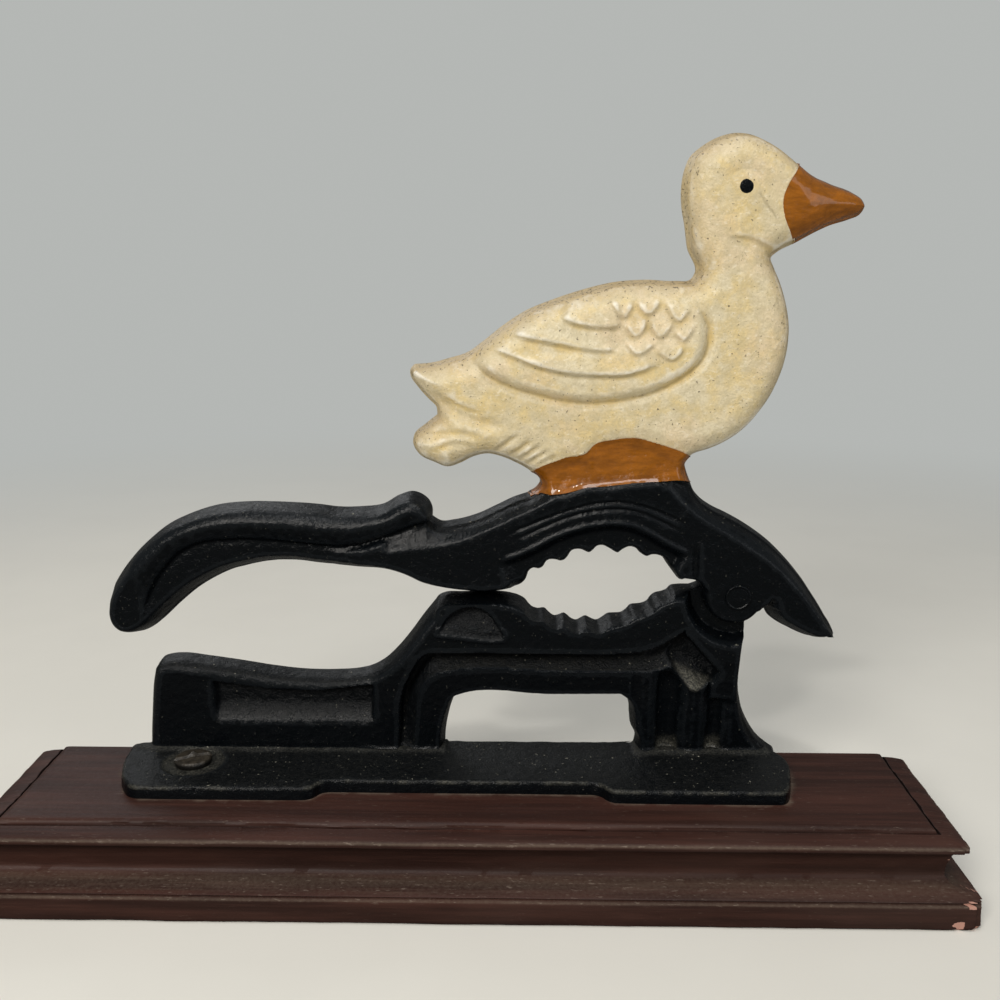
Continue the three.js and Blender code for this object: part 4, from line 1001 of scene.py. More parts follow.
class PressSizes(bpy.types.PropertyGroup):
    """Sizes of the relief on the castings and of the board."""

    goose_roundness: FloatProperty(
        name="Goose roundness", description="How far in from its silhouette the goose is rounded",
        default=0.0085, min=0.003, max=0.012, unit="LENGTH", precision=4)
    wing_rise: FloatProperty(
        name="Wing rise", description="How far the wing stands off the body",
        default=0.0013, min=0.0, max=0.002, unit="LENGTH", precision=5)
    groove_depth: FloatProperty(
        name="Groove depth", description="Depth of the feather grooves and of the lines on the lever",
        default=0.0006, min=0.0, max=0.0012, unit="LENGTH", precision=5)
    casting_lumps: FloatProperty(
        name="Casting lumps", description="Unevenness that the sand mould left",
        default=0.00016, min=0.0, max=0.0005, unit="LENGTH", precision=5)
    board_waviness: FloatProperty(
        name="Board waviness", description="How unevenly the plinth's moulding was worked",
        default=0.00018, min=0.0, max=0.0006, unit="LENGTH", precision=5)
    half_length: FloatProperty(
        name="Half length of the plinth", description="From the middle to the end of the board",
        default=PLINTH_HIGH[0] * MM, min=0.1, max=0.2, unit="LENGTH", precision=4)


class PressColours(bpy.types.PropertyGroup):
    """Colours of the paints, the wood and the stage."""

    black: FloatVectorProperty(
        name="Black enamel", description="Worn black enamel on both castings",
        default=(0.0014, 0.0022, 0.0030), size=3, min=0, max=1, subtype="COLOR")
    # the dust colour also paints the light on the castings' upward slopes and along some edges
    dust: FloatVectorProperty(
        name="Dust", description="Pale dust on the black castings",
        default=(0.21, 0.20, 0.16), size=3, min=0, max=1, subtype="COLOR")
    cream: FloatVectorProperty(
        name="Cream enamel", description="Old cream enamel on the goose",
        default=(0.68, 0.60, 0.42), size=3, min=0, max=1, subtype="COLOR")
    ochre: FloatVectorProperty(
        name="Ochre stain", description="Yellow stain in the goose's hollows",
        default=(0.60, 0.44, 0.17), size=3, min=0, max=1, subtype="COLOR")
    orange: FloatVectorProperty(
        name="Orange enamel", description="Glossy orange-brown enamel on beak and mound",
        default=(0.275, 0.090, 0.006), size=3, min=0, max=1, subtype="COLOR")
    wood: FloatVectorProperty(
        name="Plinth stain", description="Maroon-brown stain on the wooden plinth",
        default=(0.038, 0.0142, 0.0098), size=3, min=0, max=1, subtype="COLOR")
    steel: FloatVectorProperty(
        name="Screw", description="Darkened screw",
        default=(0.017, 0.0135, 0.009), size=3, min=0, max=1, subtype="COLOR")
    floor: FloatVectorProperty(
        name="Floor", description="Plain pale floor",
        default=(0.76, 0.74, 0.68), size=3, min=0, max=1, subtype="COLOR")
    wall: FloatVectorProperty(
        name="Backdrop", description="Light grey behind the object",
        default=(0.46, 0.475, 0.46), size=3, min=0, max=1, subtype="COLOR")


# Materials


def black_enamel(colours, name="black_enamel"):
    """Worn black enamel: lumpy, duller where dust lies in rough floors and on upward slopes, the dust on
    upward slopes also painted light with painted glints, greyer on ridges, with pale specks."""
    f = new_finish(name)
    hollow, rough, up, dusty = (f.attribute(key) for key in ("hollow", "rough", "up", "dusty"))
    broad, fine, grit = f.noise(9.0), f.noise(1.6, 5), f.noise(0.45, 3)
    blue_black = (0.0015, 0.0022, 0.0034)
    greyed = tuple(2.4 * c + 0.004 for c in colours.black)
    worn = (hollow * -6.0 + fine - 0.45).between(0.25, 0.75)
    base = f.mix(worn * 0.6, colours.black, greyed)
    base = f.mix((broad - 0.5) * 0.5 + 0.2, base, blue_black)
    # Dust on faces that look up, also painting the light those faces catch from above
    lying_dust_and_top_light = (up * 0.9 + fine * 0.7 + broad * 0.3 - 0.85).between(0.1, 0.9)
    # painted glints: a grainy speckle that breaks up the dust and the painted light
    painted_glints = grit.between(0.36, 0.68) * 1.3 + 0.3
    dust = lying_dust_and_top_light * (rough * 0.08 + 0.004) + dusty * (fine * 0.9 + 0.1)
    base = f.mix(dust * painted_glints, base, colours.dust)
    specks = f.noise(0.8, 2).between(0.70, 0.75) * (lying_dust_and_top_light * 0.8 + rough * 0.3 + 0.12).limited()
    base = f.mix(specks, base, tinted(colours.dust, 1.7))
    roughness = (fine * 0.32 + rough * 0.16 + lying_dust_and_top_light * 0.2 + 0.08).limited()
    height = fine * 0.26 + grit * (rough * 0.14 + 0.11) + f.noise(0.9, 4) * (rough * 0.24)
    height = height + f.noise(3.4, 2) * 0.2
    return f.surface(base, roughness, f.bumped(height, 1.0), specular=0.19)


def cream_enamel(colours):
    """Old cream enamel: ochre in its hollows and low on the wing, dark lines in its grooves and creases that
    are painted shade with some dirt, beige dust and dark specks along the upper edges, the beige also
    painted shade on edges that face up, grey painted shade on edges that face down, worn white on its
    crests, a fine sandy grain."""
    f = new_finish("cream_enamel")
    hollow, rim, up, line = (f.attribute(key) for key in ("hollow", "rim", "up", "line"))
    broad, patches, fine, grit = f.noise(34.0, 3), f.noise(8.0, 5), f.noise(1.3, 5), f.noise(0.55, 3)
    cream = colours.cream
    bleached, worn_white = (0.86, 0.80, 0.66), (0.88, 0.85, 0.76)
    grime_brown, shade_and_dirt_brown, dark_speck = (0.24, 0.19, 0.11), (0.16, 0.13, 0.075), (0.09, 0.07, 0.045)
    beige_dust_and_shade, underside_shade_grey = (0.42, 0.315, 0.175), (0.34, 0.31, 0.25)
    base = f.mix(broad.between(0.35, 0.68) * 0.75, cream, tinted(cream, 0.90, 0.84, 0.72))
    base = f.mix(patches.between(0.42, 0.62) * 0.75, base, tinted(cream, 0.98, 0.84, 0.50))
    base = f.mix(f.noise(17.0, 4).between(0.48, 0.68) * 0.5, base, tinted(cream, 1.05, 0.93, 0.88))
    base = f.mix(grit.between(0.40, 0.66) * 0.36, base, tinted(cream, 0.70, 0.66, 0.56))
    base = f.mix(f.noise(0.8, 4, 0.6, (1.6, 1.0, 1.0)).between(0.56, 0.70) * 0.4, base, bleached)
    base = f.mix(f.noise(2.4, 5).between(0.42, 0.62) * 0.42, base, tinted(cream, 0.72, 0.69, 0.60))
    stain = (hollow * 1.7 + patches * 1.1 - 0.60).between(0.0, 0.9)
    base = f.mix(stain * 0.8, base, colours.ochre)
    grime = (hollow * 2.0 + fine * 0.9 - 0.95).between(0.0, 0.9)
    base = f.mix(grime * 0.45, base, grime_brown)
    # dark lines: painted shade in the grooves and creases with some dirt, and a real crack and chip
    base = f.mix((line * (fine + 0.2)).limited() * 0.6, base, shade_and_dirt_brown)
    edge = (rim * -0.42 + 1.0).limited()
    # beige dust on edges that face up, also painted shade that keeps the lamps from lighting them brighter
    ledge_dust_and_shade = ((rim * -0.27 + 1.25).limited() * (up * 0.55 + patches * 0.5 + 0.22).limited()).limited()
    base = f.mix(ledge_dust_and_shade * 0.8, base, beige_dust_and_shade)
    # painted shade: edges that face down darkened to grey
    low = (edge * (up * -1.0)).limited()
    base = f.mix((low * (fine + 0.3)).limited() * 0.6, base, underside_shade_grey)
    specks = (f.noise(0.75, 3) + ledge_dust_and_shade * 0.07 + edge * 0.02).between(0.655, 0.71)
    base = f.mix(specks * 0.8, base, dark_speck)
    worn = (hollow * -1.0 + patches * 0.8 + fine * 0.2).between(0.58, 0.9)
    base = f.mix(worn * 0.6, base, worn_white)
    roughness = (fine * 0.25 + stain * 0.15 + 0.30).limited()
    height = fine * 0.24 + grit * 0.17 + patches * 0.3 + f.noise(3.0, 3) * 0.32
    return f.surface(base, roughness, f.bumped(height, 0.95), coat=0.06, coat_rough=0.25, specular=0.32)


def orange_enamel(colours):
    """Glossy orange-brown enamel laid on by brush: streaks of thicker and thinner paint under a gloss."""
    f = new_finish("orange_enamel")
    orange, groove_brown = colours.orange, (0.11, 0.035, 0.006)
    streak = f.noise(2.0, 4, 0.6, (3.0, 1.0, 1.0))
    broad, fine = f.noise(9.0, 3), f.noise(0.9, 4)
    base = f.mix(streak.between(0.3, 0.75), tinted(orange, 0.68), tinted(orange, 1.12))
    base = f.mix((broad - 0.45).limited() * 0.9, base, tinted(orange, 1.15, 1.25, 1.2))
    hollow = (f.attribute("hollow") * 6.0 + fine * 0.4 - 0.3).between(0.1, 0.8)
    base = f.mix(hollow * 0.5, base, groove_brown)
    roughness = (streak * 0.12 + fine * 0.1 + 0.14).limited()
    height = streak * 0.55 + broad * 1.6 + f.noise(4.0, 3) * 0.5 + fine * 0.06
    return f.surface(base, roughness, f.bumped(height, 0.9), coat=0.7, coat_rough=0.05, specular=0.15)


def plinth_stain(colours):
    """Maroon-brown stain on wood: long grain along the board, worn streaks, dust in the moulding with a pale
    band on the nosing's edge that is also a painted highlight, painted shade in the groove under the
    panel's lip and on faces that look down, bare wood where chips are gone."""
    f = new_finish("plinth_stain")
    dusty, chip, lip_groove_shade, up = (f.attribute(key) for key in ("dusty", "chip", "lip_groove_shade", "up"))
    grain = f.noise(1.1, 5, 0.6, (26.0, 1.0, 1.0))
    long_streak = f.noise(4.0, 4, 0.55, (18.0, 1.0, 1.0))
    broad, fine = f.noise(26.0, 3, 0.5, (3.0, 1.0, 1.0)), f.noise(0.8, 4)
    wood = colours.wood
    faded, bare_wood, lip_groove_shade_colour = (0.075, 0.046, 0.036), (0.50, 0.27, 0.21), (0.007, 0.004, 0.0035)
    brown_dust, fleck = (0.15, 0.115, 0.085), (0.22, 0.175, 0.14)
    base = f.mix(long_streak.between(0.35, 0.7), tinted(wood, 0.62), tinted(wood, 1.35))
    base = f.mix(grain.between(0.5, 0.8) * 0.5, base, tinted(wood, 1.9, 2.1, 2.2))
    base = f.mix(broad.between(0.45, 0.75) * 0.25, base, faded)
    dust = (dusty * 0.9 + fine * 0.5 + grain * 0.35 - 0.95).between(0.0, 0.8)
    base = f.mix(dust * 0.5, base, brown_dust)
    flecks = (f.noise(0.55, 4, 0.6, (4.0, 1.0, 1.0)) + dusty * 0.05).between(0.64, 0.74)
    base = f.mix(flecks * (dusty * 0.4 + 0.05), base, fleck)
    # painted shade: the groove under the panel's lip darkened
    base = f.mix(lip_groove_shade * 0.9, base, lip_groove_shade_colour)
    # painted shade: faces that look down, as in the cove under the nosing, darkened
    base = f.mix((up * -1.2 + 0.25).limited() * 0.6, base, tinted(wood, 0.35))
    base = f.mix((chip + fine * 0.3 - 0.15).between(0.45, 0.6) * 0.9, base, bare_wood)
    roughness = (fine * 0.2 + dust * 0.2 + 0.42).limited()
    height = grain * 0.12 + fine * 0.04 + long_streak * 0.08
    return f.surface(base, roughness, f.bumped(height, 0.8), specular=0.22)


def dark_screw(colours):
    """A darkened, crusty screw, brown where it has rusted, its sides painted near black as shade."""
    f = new_finish("dark_screw")
    crust, fine = f.noise(1.8, 5), f.noise(0.5, 4)
    steel, rust = colours.steel, (0.11, 0.09, 0.06)
    base = f.mix(crust.between(0.35, 0.65), steel, tinted(steel, 2.4))
    base = f.mix(fine.between(0.6, 0.72) * 0.3, base, rust)
    # painted shade: the head's sides, which do not face up, darkened
    base = f.mix((f.attribute("up") * 1.3).limited(), tinted(steel, 0.15), base)
    roughness = (crust * 0.3 + fine * 0.2 + 0.2).limited()
    return f.surface(base, roughness, f.bumped(crust * 0.35 + fine * 0.12, 0.9), metallic=0.2)


# Operators, one for each piece or group of like pieces


SILHOUETTE_RUNS = (
    HANDLE_TOP, LEVER_TOP, MOUND_LEFT, GOOSE_TAIL, TAIL_UPPER, GOOSE_BACK, BEAK, BREAST, MOUND_RIGHT,
    TAIL_TOP, TAIL_UNDER,
)
PAINT_OVERLAP = 0.7
PAINT_THICKNESS = 0.09


def lug_arc():
    """The lug under the pivot pin, walked clockwise from the tail to the jaw."""
    return arc(LUG_CENTRE, LUG_RADIUS, -38, -186)


def whole_silhouette():
    """The upper casting's whole outline, goose and all."""
    return np.concatenate([
        joined(*SILHOUETTE_RUNS), lug_arc(), joined(LEVER_JAW_END, UPPER_TEETH, REST_FLAT, HANDLE_UNDER)])


def overlap(line, offset):
    """The line moved to its left by the offset, and less near its ends, so that two paints lap."""
    p = flowing(line)
    t = np.gradient(p, axis=0)
    n = np.stack([-t[:, 1], t[:, 0]], axis=1) / np.linalg.norm(t, axis=1, keepdims=True)
    taper = np.sin(np.pi * np.linspace(0, 1, len(p)))[:, None] ** 0.25
    return p + n * offset * taper


BASE_STEP = 3.0
BOARD_FOOT = [
    (1.8, 0.0), (2.6, 0.1), (2.95, 0.5), (3.0, 1.4), (3.0, 3.4), (3.0, 5.4), (2.95, 6.3), (2.75, 6.75),
    (2.4, 6.95), (2.4, 7.1), (2.7, 7.4),
]
FLARE_IN, FLARE_FOOT, FLARE_RISE = 7.3, 7.6, 3.2
COVE_START, COVE_OUT, COVE_FOOT, COVE_RISE = -4.3, 3.7, 10.8, 7.8
BOARD_NOSE = [
    (-0.35, 18.65), (-0.08, 18.8), (0.0, 19.1), (0.0, 19.6), (-0.1, 19.95), (-0.45, 20.2), (-1.2, 20.45),
]
BOARD_TOP = [
    (-3.4, 20.85), (-5.5, 21.0), (-5.65, 20.9), (-5.75, 20.3), (-6.4, 20.25), (-6.5, 21.0), (-6.7, 21.5),
    (-7.1, 21.85), (-7.9, 21.98), (-8.8, 22.0),
]
BOARD_ACROSS, BOARD_DEEP = 360, 72
NOSE_MIDDLE, FOOT_EDGE, SEAM_HEIGHT, SEAM_OUT = 19.6, 0.8, 20.9, -5.4


def moulding():
    """The board's section from its foot to its raised panel, as places out from the nosing and heights. The
    flare runs in as half a cosine wave and up as a parabola, and the cove is a quarter of an ellipse."""
    flare, cove = [], []
    for k in np.linspace(0, 1, 9):
        inward = FLARE_IN * (1 - np.cos(np.pi * k)) / 2
        flare.append((BASE_STEP - inward, FLARE_FOOT + FLARE_RISE * (0.25 * k + 0.75 * k * k)))
    for k in np.linspace(0, 1, 14)[1:]:
        outward = COVE_OUT * (1 - np.cos(np.pi * k / 2))
        cove.append((COVE_START + outward, COVE_FOOT + COVE_RISE * np.sin(np.pi * k / 2)))
    return np.array(BOARD_FOOT + flare + cove + BOARD_NOSE + BOARD_TOP)


def round_board():
    """The way round the board, as shares from the left end (-1) to the right (1) and from front to back."""
    u, v = np.linspace(-1, 1, BOARD_ACROSS), np.linspace(0, 1, BOARD_DEEP)
    ends = np.ones(BOARD_DEEP - 1)
    ring_u = np.concatenate([-ends, u[:-1], ends, u[::-1][:-1]])
    ring_v = np.concatenate([v[::-1][:-1], np.zeros(BOARD_ACROSS - 1), v[:-1], np.ones(BOARD_ACROSS - 1)])
    return ring_u, ring_v


def board_wear(x, y, height, o, half, front):
    """How the moulding is worn: its waves, chips, nearness to a front corner, its lips at the nosing and the
    foot, and the crack along the panel."""
    along = np.stack([(x + 3 * y).ravel(), 3 * height.ravel()], axis=1)
    wobble = (lumps(along, 16.0, 51) * 0.6 + lumps(along, 5.0, 52) * 0.4 + 1).reshape(x.shape)
    large = ease(0.50, 0.85, lumps(along * [1, 1.2], 5.5, 53)) * 0.8
    small = ease(0.55, 0.9, lumps(along * [1, 0.8], 3.0, 54)) * 0.6
    corner = ease(7.0, 0.5, half - np.abs(x)) * ease(9.0, 0.5, y - front)
    lip = np.exp(-((height - NOSE_MIDDLE) ** 2) / 0.9) + np.exp(-((height - FOOT_EDGE) ** 2) / 1.5)
    crack = np.exp(-((height - SEAM_HEIGHT) ** 2) / 0.12) * (o < SEAM_OUT) * (wobble - 1) * 0.3
    return wobble, (large + small).reshape(x.shape), corner, lip, crack


def lid(edge, first, total, column, line, rise):
    """A grid that closes one ring of the board: the ring's points, numbered from first, are its border, and
    the new ones are numbered from total. Its middle sinks by the rise into shallow hollows."""
    grid = np.full((BOARD_ACROSS, BOARD_DEEP), -1)
    grid[column, line] = first + np.arange(len(edge))
    i, j = np.nonzero(grid < 0)
    x = np.interp(i / (BOARD_ACROSS - 1), [0, 1], [edge[:, 0].min(), edge[:, 0].max()])
    y = np.interp(j / (BOARD_DEEP - 1), [0, 1], [edge[:, 1].min(), edge[:, 1].max()])
    z = edge[0, 2] + rise * (lumps(np.stack([0.35 * x, y], axis=1), 4.0, 55) - 1)
    grid[i, j] = total + np.arange(len(i))
    quads = np.stack([grid[:-1, :-1], grid[1:, :-1], grid[1:, 1:], grid[:-1, 1:]], axis=-1)
    return np.column_stack([x, y, z]), quads.reshape(-1, 4)


class PRESS_OT_plinth(bpy.types.Operator):
    """Make the moulded wooden plinth."""

    bl_idname = "press.make_plinth"
    bl_label = "Plinth"

    def execute(self, context):
        sizes, colours = context.scene.press_sizes, context.scene.press_colours
        half = sizes.half_length / MM - BASE_STEP
        front, back = PLINTH_LOW[1] + BASE_STEP, PLINTH_HIGH[1]
        profile = moulding()
        ring_u, ring_v = round_board()
        o, z = profile[:, :1], profile[:, 1:]
        x = (half + o) * ring_u
        y = (front - o) * (1 - ring_v) + back * ring_v + 0 * o
        height = z + 0 * x
        wobble, chips, corner, lip, crack = board_wear(x, y, height, o, half, front)
        ends, face = np.abs(ring_u) > 0.999, ring_v < 0.001
        loss = chips * (0.15 + 0.9 * corner) * lip + sizes.board_waviness / MM * wobble + crack
        round_off = corner * 0.55 * (np.abs(ring_u) > 0.985) * (ring_v < 0.03)
        x = x - np.sign(x) * (ends * loss * np.minimum(1, (1 - ring_v) * 6) + round_off)
        y = y + face * loss + round_off

        rows, per_ring = len(profile), ring_u.size
        ring = np.column_stack([x.ravel(), y.ravel(), height.ravel()])
        faces = []
        for row in range(rows - 1):
            faces += band(row * per_ring, (row + 1) * per_ring, per_ring).tolist()
        column = np.round((ring_u + 1) / 2 * (BOARD_ACROSS - 1)).astype(int)
        line = np.round(ring_v * (BOARD_DEEP - 1)).astype(int)
        cloud = ring
        for row, rise, turned in ((0, 0.0, -1), (rows - 1, 0.05, 1)):
            first = row * per_ring
            points, quads = lid(ring[first : first + per_ring], first, len(cloud), column, line, rise)
            cloud = np.concatenate([cloud, points])
            faces += quads[:, ::turned].tolist()

        dusty, chip, lip_groove_shade = np.zeros((3, len(cloud)))
        dusty[: len(ring)] = np.repeat(np.interp(profile[:, 1], *zip(*MOULDING_DUST_AND_EDGE_LIGHT)), per_ring)
        chip[: len(ring)] = np.clip(chips * (corner * 1.6 + lip * 0.3), 0, 1).ravel()
        plate_near = nearest(cloud[:, :2], corner_cut(PLATE_OUTLINE), True)[0]
        by_plate = np.exp(-plate_near / 1.4) * (1 + 0.6 * lumps(cloud[:, :2], 3.0, 56))
        dusty = np.where(cloud[:, 2] > 21.5, np.maximum(dusty, 0.32 + 0.9 * by_plate), dusty)
        # the groove under the panel's lip, to be painted dark as shade
        lip_groove_shade[: len(ring)] = ((o < -5.6) & (height < 20.95)).ravel()
        board = make_object("plinth", cloud, faces, {"dusty": dusty, "chip": chip, "lip_groove_shade": lip_groove_shade}, sharp=34)
        dressed(board, plinth_stain(colours), "base", "plinth_wood", "plinth_board")
        return {"FINISHED"}


TONGUE_RADIUS = 6.9
SPOT_SINK, SPOT_RIM = 0.3, 0.2
PLATE_ROUNDING, PLATE_LOWERED = 0.35, 0.12


def plate_front(p, sd, out):
    """The foot plate's top: rounded at its edge, sunk round the screw and rising to the casting's foot."""
    x, y = p.T
    h = PLATE_TOP - PLATE_ROUNDING * np.clip(1 - sd / 0.5, 0, 1) ** 2
    r = np.hypot(x - SCREW[0], y - SCREW[1])
    spot = ease(SPOT_FACE, SPOT_FACE - 0.8, r)
    h = h - SPOT_SINK * spot + SPOT_RIM * bell(r, SPOT_FACE, 0.5)
    wall = ((x < -6.5) | (x > 46.0)) & (x < 84)
    foot = wall * ease(15.2, 18.2, y + 0.7 * lumps(p, 3.0, 63))
    h = h + 0.6 * foot**2 + 0.10 * lumps(p, 5.0, 61) + 0.08 * lumps(p, 1.8, 62)
    # a broken pale line along the plate's front edge: dust and a painted highlight
    line = ease(0.8, 0.1, sd) * ease(-0.4, 0.5, lumps(p, 2.4, 64))
    return h - PLATE_LOWERED, {"rough": 0.3 + 0.5 * foot, "dusty": 0.22 * spot + 0.14 * foot + 0.35 * line}


def plate_back(p):
    """The foot plate's underside, let a hair into the board."""
    return PLINTH_TOP - 0.02 + 0 * p[:, 0]


class PRESS_OT_base(bpy.types.Operator):
    """Cast the lower casting: rest, post, lower jaw, legs and foot plate."""

    bl_idname = "press.make_base"
    bl_label = "Base casting"

    def execute(self, context):
        sizes, colours = context.scene.press_sizes, context.scene.press_colours
        loop = np.concatenate([
            joined(BASE_LEFT, BASE_TOP, BASE_REST, LOWER_TEETH, BASE_NECK), arc(PIN, TONGUE_RADIUS, 152, -46),
            joined(BASE_RIGHT, [BASE_RIGHT[-1], BASE_LEFT[0]])])
        window = joined(*WINDOW)

        def front(p, sd, out):
            height, rough, dusty = base_height(p, sd, out, sizes)
            return height, {"rough": rough, "dusty": dusty}

        black = black_enamel(colours)
        frame_piece = relief("base_frame", [loop, window], [loop, window], front, flat_back, on_casting)
        dressed(frame_piece, black, "base", "black_iron", "base_casting")

        outline = corner_cut(PLATE_OUTLINE)
        plate = relief(
            "foot_plate", [outline], [outline], plate_front, plate_back, lambda cloud: cloud, spacing=0.8,
            draft=0.35)
        dressed(plate, black, "base", "black_iron", "base_casting")
        return {"FINISHED"}


LUG_CLEARANCE, LUG_POCKET = 0.35, 5.0


def pocketed_back(p):
    """The lever's back: flat, with a round pocket for the base casting's tongue."""
    from_lug = np.hypot(p[:, 0] - LUG_CENTRE[0], p[:, 1] - LUG_CENTRE[1])
    return np.where(from_lug < LUG_RADIUS + LUG_CLEARANCE, LUG_POCKET, flat_back(p))


class PRESS_OT_lever(bpy.types.Operator):
    """Cast the lever: handle, toothed arch, cheek and tail."""

    bl_idname = "press.make_lever"
    bl_label = "Lever casting"

    def execute(self, context):
        sizes, colours = context.scene.press_sizes, context.scene.press_colours
        silhouette = turned_left(whole_silhouette())
        loop = np.concatenate([
            joined(HANDLE_TOP, LEVER_TOP), overlap(MOUND_LOWER, PAINT_OVERLAP)[:-1],
            joined(TAIL_TOP, TAIL_UNDER), lug_arc(),
            joined(LEVER_JAW_END, UPPER_TEETH, REST_FLAT, HANDLE_UNDER)])

        def front(p, sd, out):
            return lever_casting_height(p, sd, out, sizes) - lapped(p, MOUND_LOWER) * (p[:, 0] > -56.5), {}

        rings = np.concatenate([arc(LUG_CENTRE, LUG_RADIUS + k, 0, 357, 0.8) for k in (0.3, 0.4)])
        lever = relief("lever_iron", [loop], [silhouette], front, pocketed_back, on_casting, extra=rings)
        dressed(lever, black_enamel(colours, "black_enamel_lever"), "lever", "black_iron", "lever_casting")
        return {"FINISHED"}


EYE_DEPTH = 9.55
EYE_SECTION = (
    (0, 1.2), (1.72, 1.2), (1.78, 0.1), (1.7, -0.02), (1.4, -0.1), (0.9, -0.16), (0.4, -0.18), (0, -0.19),
)


class PRESS_OT_goose(bpy.types.Operator):
    """Cast the goose, its beak and its mound, which are one casting with the lever, and paint its eye."""

    bl_idname = "press.make_goose"
    bl_label = "Goose"

    def execute(self, context):
        sizes, colours = context.scene.press_sizes, context.scene.press_colours
        silhouette = turned_left(whole_silhouette())

        def body_front(p, sd, out):
            height = lever_casting_height(p, sd, out, sizes) - lapped(p, BEAK_ROOT, MOUND_UPPER[::-1])
            # the line mask is painted shade in grooves and creases, with a real crack and chip
            return height, {"line": goose_lines(p)}

        def painted_front(p, sd, out):
            return lever_casting_height(p, sd, out, sizes) + PAINT_THICKNESS, {}

        def painted_back(p):
            return flat_back(p) - 0.08

        body = np.concatenate([
            joined(GOOSE_TAIL, TAIL_UPPER, GOOSE_BACK), overlap(BEAK_ROOT, PAINT_OVERLAP)[:-1],
            joined(BREAST), overlap(MOUND_UPPER, -PAINT_OVERLAP)[::-1][:-1]])
        goose = relief("goose", [body], [silhouette], body_front, flat_back, on_casting, spacing=0.42)
        dressed(goose, cream_enamel(colours), "lever", "cream_paint", "goose_body")
        orange = orange_enamel(colours)
        beak = np.concatenate([joined(BEAK), flowing(BEAK_ROOT)[::-1][:-1]])
        mound = np.concatenate([
            joined(MOUND_LEFT), flowing(MOUND_UPPER)[:-1], joined(MOUND_RIGHT),
            flowing(MOUND_LOWER)[::-1][:-1]])
        for name, loop, node in (("beak", beak, "goose_beak"), ("mound", mound, "goose_mound")):
            piece = relief(name, [loop], [silhouette], painted_front, painted_back, on_casting, proud=0.07)
            dressed(piece, orange, "lever", "orange_paint", node)

        centre, surface = (PIN_X + EYE[0], PLATE_TOP + EYE[1]), CASTING_BACK - EYE_DEPTH
        eye = turned_piece("eye_dot", centre, "Y", [(r, surface + s) for r, s in EYE_SECTION], sides=48)
        dressed(eye, black_enamel(colours, "black_enamel_eye"), "lever", "black_iron")
        return {"FINISHED"}


RIVET_SECTION = (
    (0, 10.95), (1.2, 10.94), (2.2, 10.9), (2.7, 10.84), (2.95, 11.02), (3.15, 11.05), (3.35, 10.95),
    (3.45, 10.6), (3.4, 8.6), (2.9, 8.5), (2.9, 0.2), (4.9, 0.1), (5.0, -0.1), (4.9, -0.35), (2.4, -0.45),
    (0, -0.48),
)
SCREW_TOP, SCREW_CROWN, SCREW_FLAT = 27.1, 0.012, 4.5
SCREW_SECTION = [(4.8, 26.65), (5.0, 26.35), (5.0, 25.9), (4.9, 25.3), (4.7, 24.9), (2.0, 24.8), (0, 24.8)]
SLOT_TURN, SLOT_DEPTH, SLOT_HALF_WIDTH = 24, 0.75, 0.6


def slotted(x, y, place):
    """The screw's head: a slot turned from the board's length, a crust and a blob of old paint beside it."""
    turn = np.radians(SLOT_TURN)
    across = -x * np.sin(turn) + y * np.cos(turn)
    spots = np.column_stack([np.ravel(x), np.ravel(y)]) + 5
    crust = 0.14 * lumps(spots, 1.6, 71).reshape(np.shape(x))
    blob = 0.8 * np.exp(-(((x + 0.3) ** 2 + (y - 0.9) ** 2) / 0.9))
    slot = SLOT_DEPTH * np.exp(-((across / SLOT_HALF_WIDTH) ** 4))
    return place + ease(26.4, 26.7, place) * (crust + blob - slot)


class PRESS_OT_fasteners(bpy.types.Operator):
    """Make the pivot rivet and both screws."""

    bl_idname = "press.make_fasteners"
    bl_label = "Rivet and screws"

    def execute(self, context):
        colours = context.scene.press_colours
        centre = (PIN_X + PIN[0], PLATE_TOP + PIN[1])
        section = [(r, CASTING_BACK - forward) for r, forward in RIVET_SECTION]
        rivet = turned_piece("rivet", centre, "Y", section)
        dressed(rivet, black_enamel(colours, "black_enamel_rivet"), "base", "black_iron", "pivot_rivet")

        steel = dark_screw(colours)
        crown = [(r, SCREW_TOP - SCREW_CROWN * r * r) for r in np.linspace(0.2, SCREW_FLAT, 23)]
        head = [(0, SCREW_TOP)] + crown + SCREW_SECTION
        screw = turned_piece("plate_screw_head", SCREW, "Z", head, sides=96, height=slotted)
        dressed(screw, steel, "base", "screw_steel", "plate_screw")

        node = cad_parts["under_screw"]
        node.data.materials.clear()
        node.data.materials.append(steel)
        return {"FINISHED"}


STAGE_REACH = 6.0
WALL_FROM, WALL_TO = 0.26, 0.80
MIRRORED_FLOOR = (0.05, 0.05, 0.045, 1.0)
DAYLIGHT, DAYLIGHT_STRENGTH = (0.90, 0.91, 0.88, 1), 0.17
LAMPS = (
    ("key", (-0.42, -0.86, 0.68), (0.0, 0.0, 0.09), 0.42, 8.4, (1.0, 0.96, 0.90)),
    ("overhead", (0.05, -0.10, 1.05), (0.0, 0.0, 0.08), 0.34, 3.0, (0.98, 0.99, 1.0)),
    ("glint", (-0.18, -0.62, 1.02), (0.0, 0.0, 0.09), 0.06, 1.8, (1.0, 0.98, 0.95)),
    ("fill", (0.9, -0.7, 0.45), (0.0, 0.0, 0.09), 0.7, 2.2, (0.94, 0.97, 1.0)),
    ("rear", (-0.5, 0.95, 0.75), (0.0, 0.0, 0.09), 0.6, 1.7, (0.96, 0.98, 1.0)),
)
CAMERA_PLACE = (0.01317, -0.25599, 0.15842)
CAMERA_YAW, CAMERA_PITCH, CAMERA_ROLL = -0.016875, 0.219490, 0.001474
SENSOR_WIDTH, LENS, NEAREST_SEEN = 36.0, 38.16, 0.01


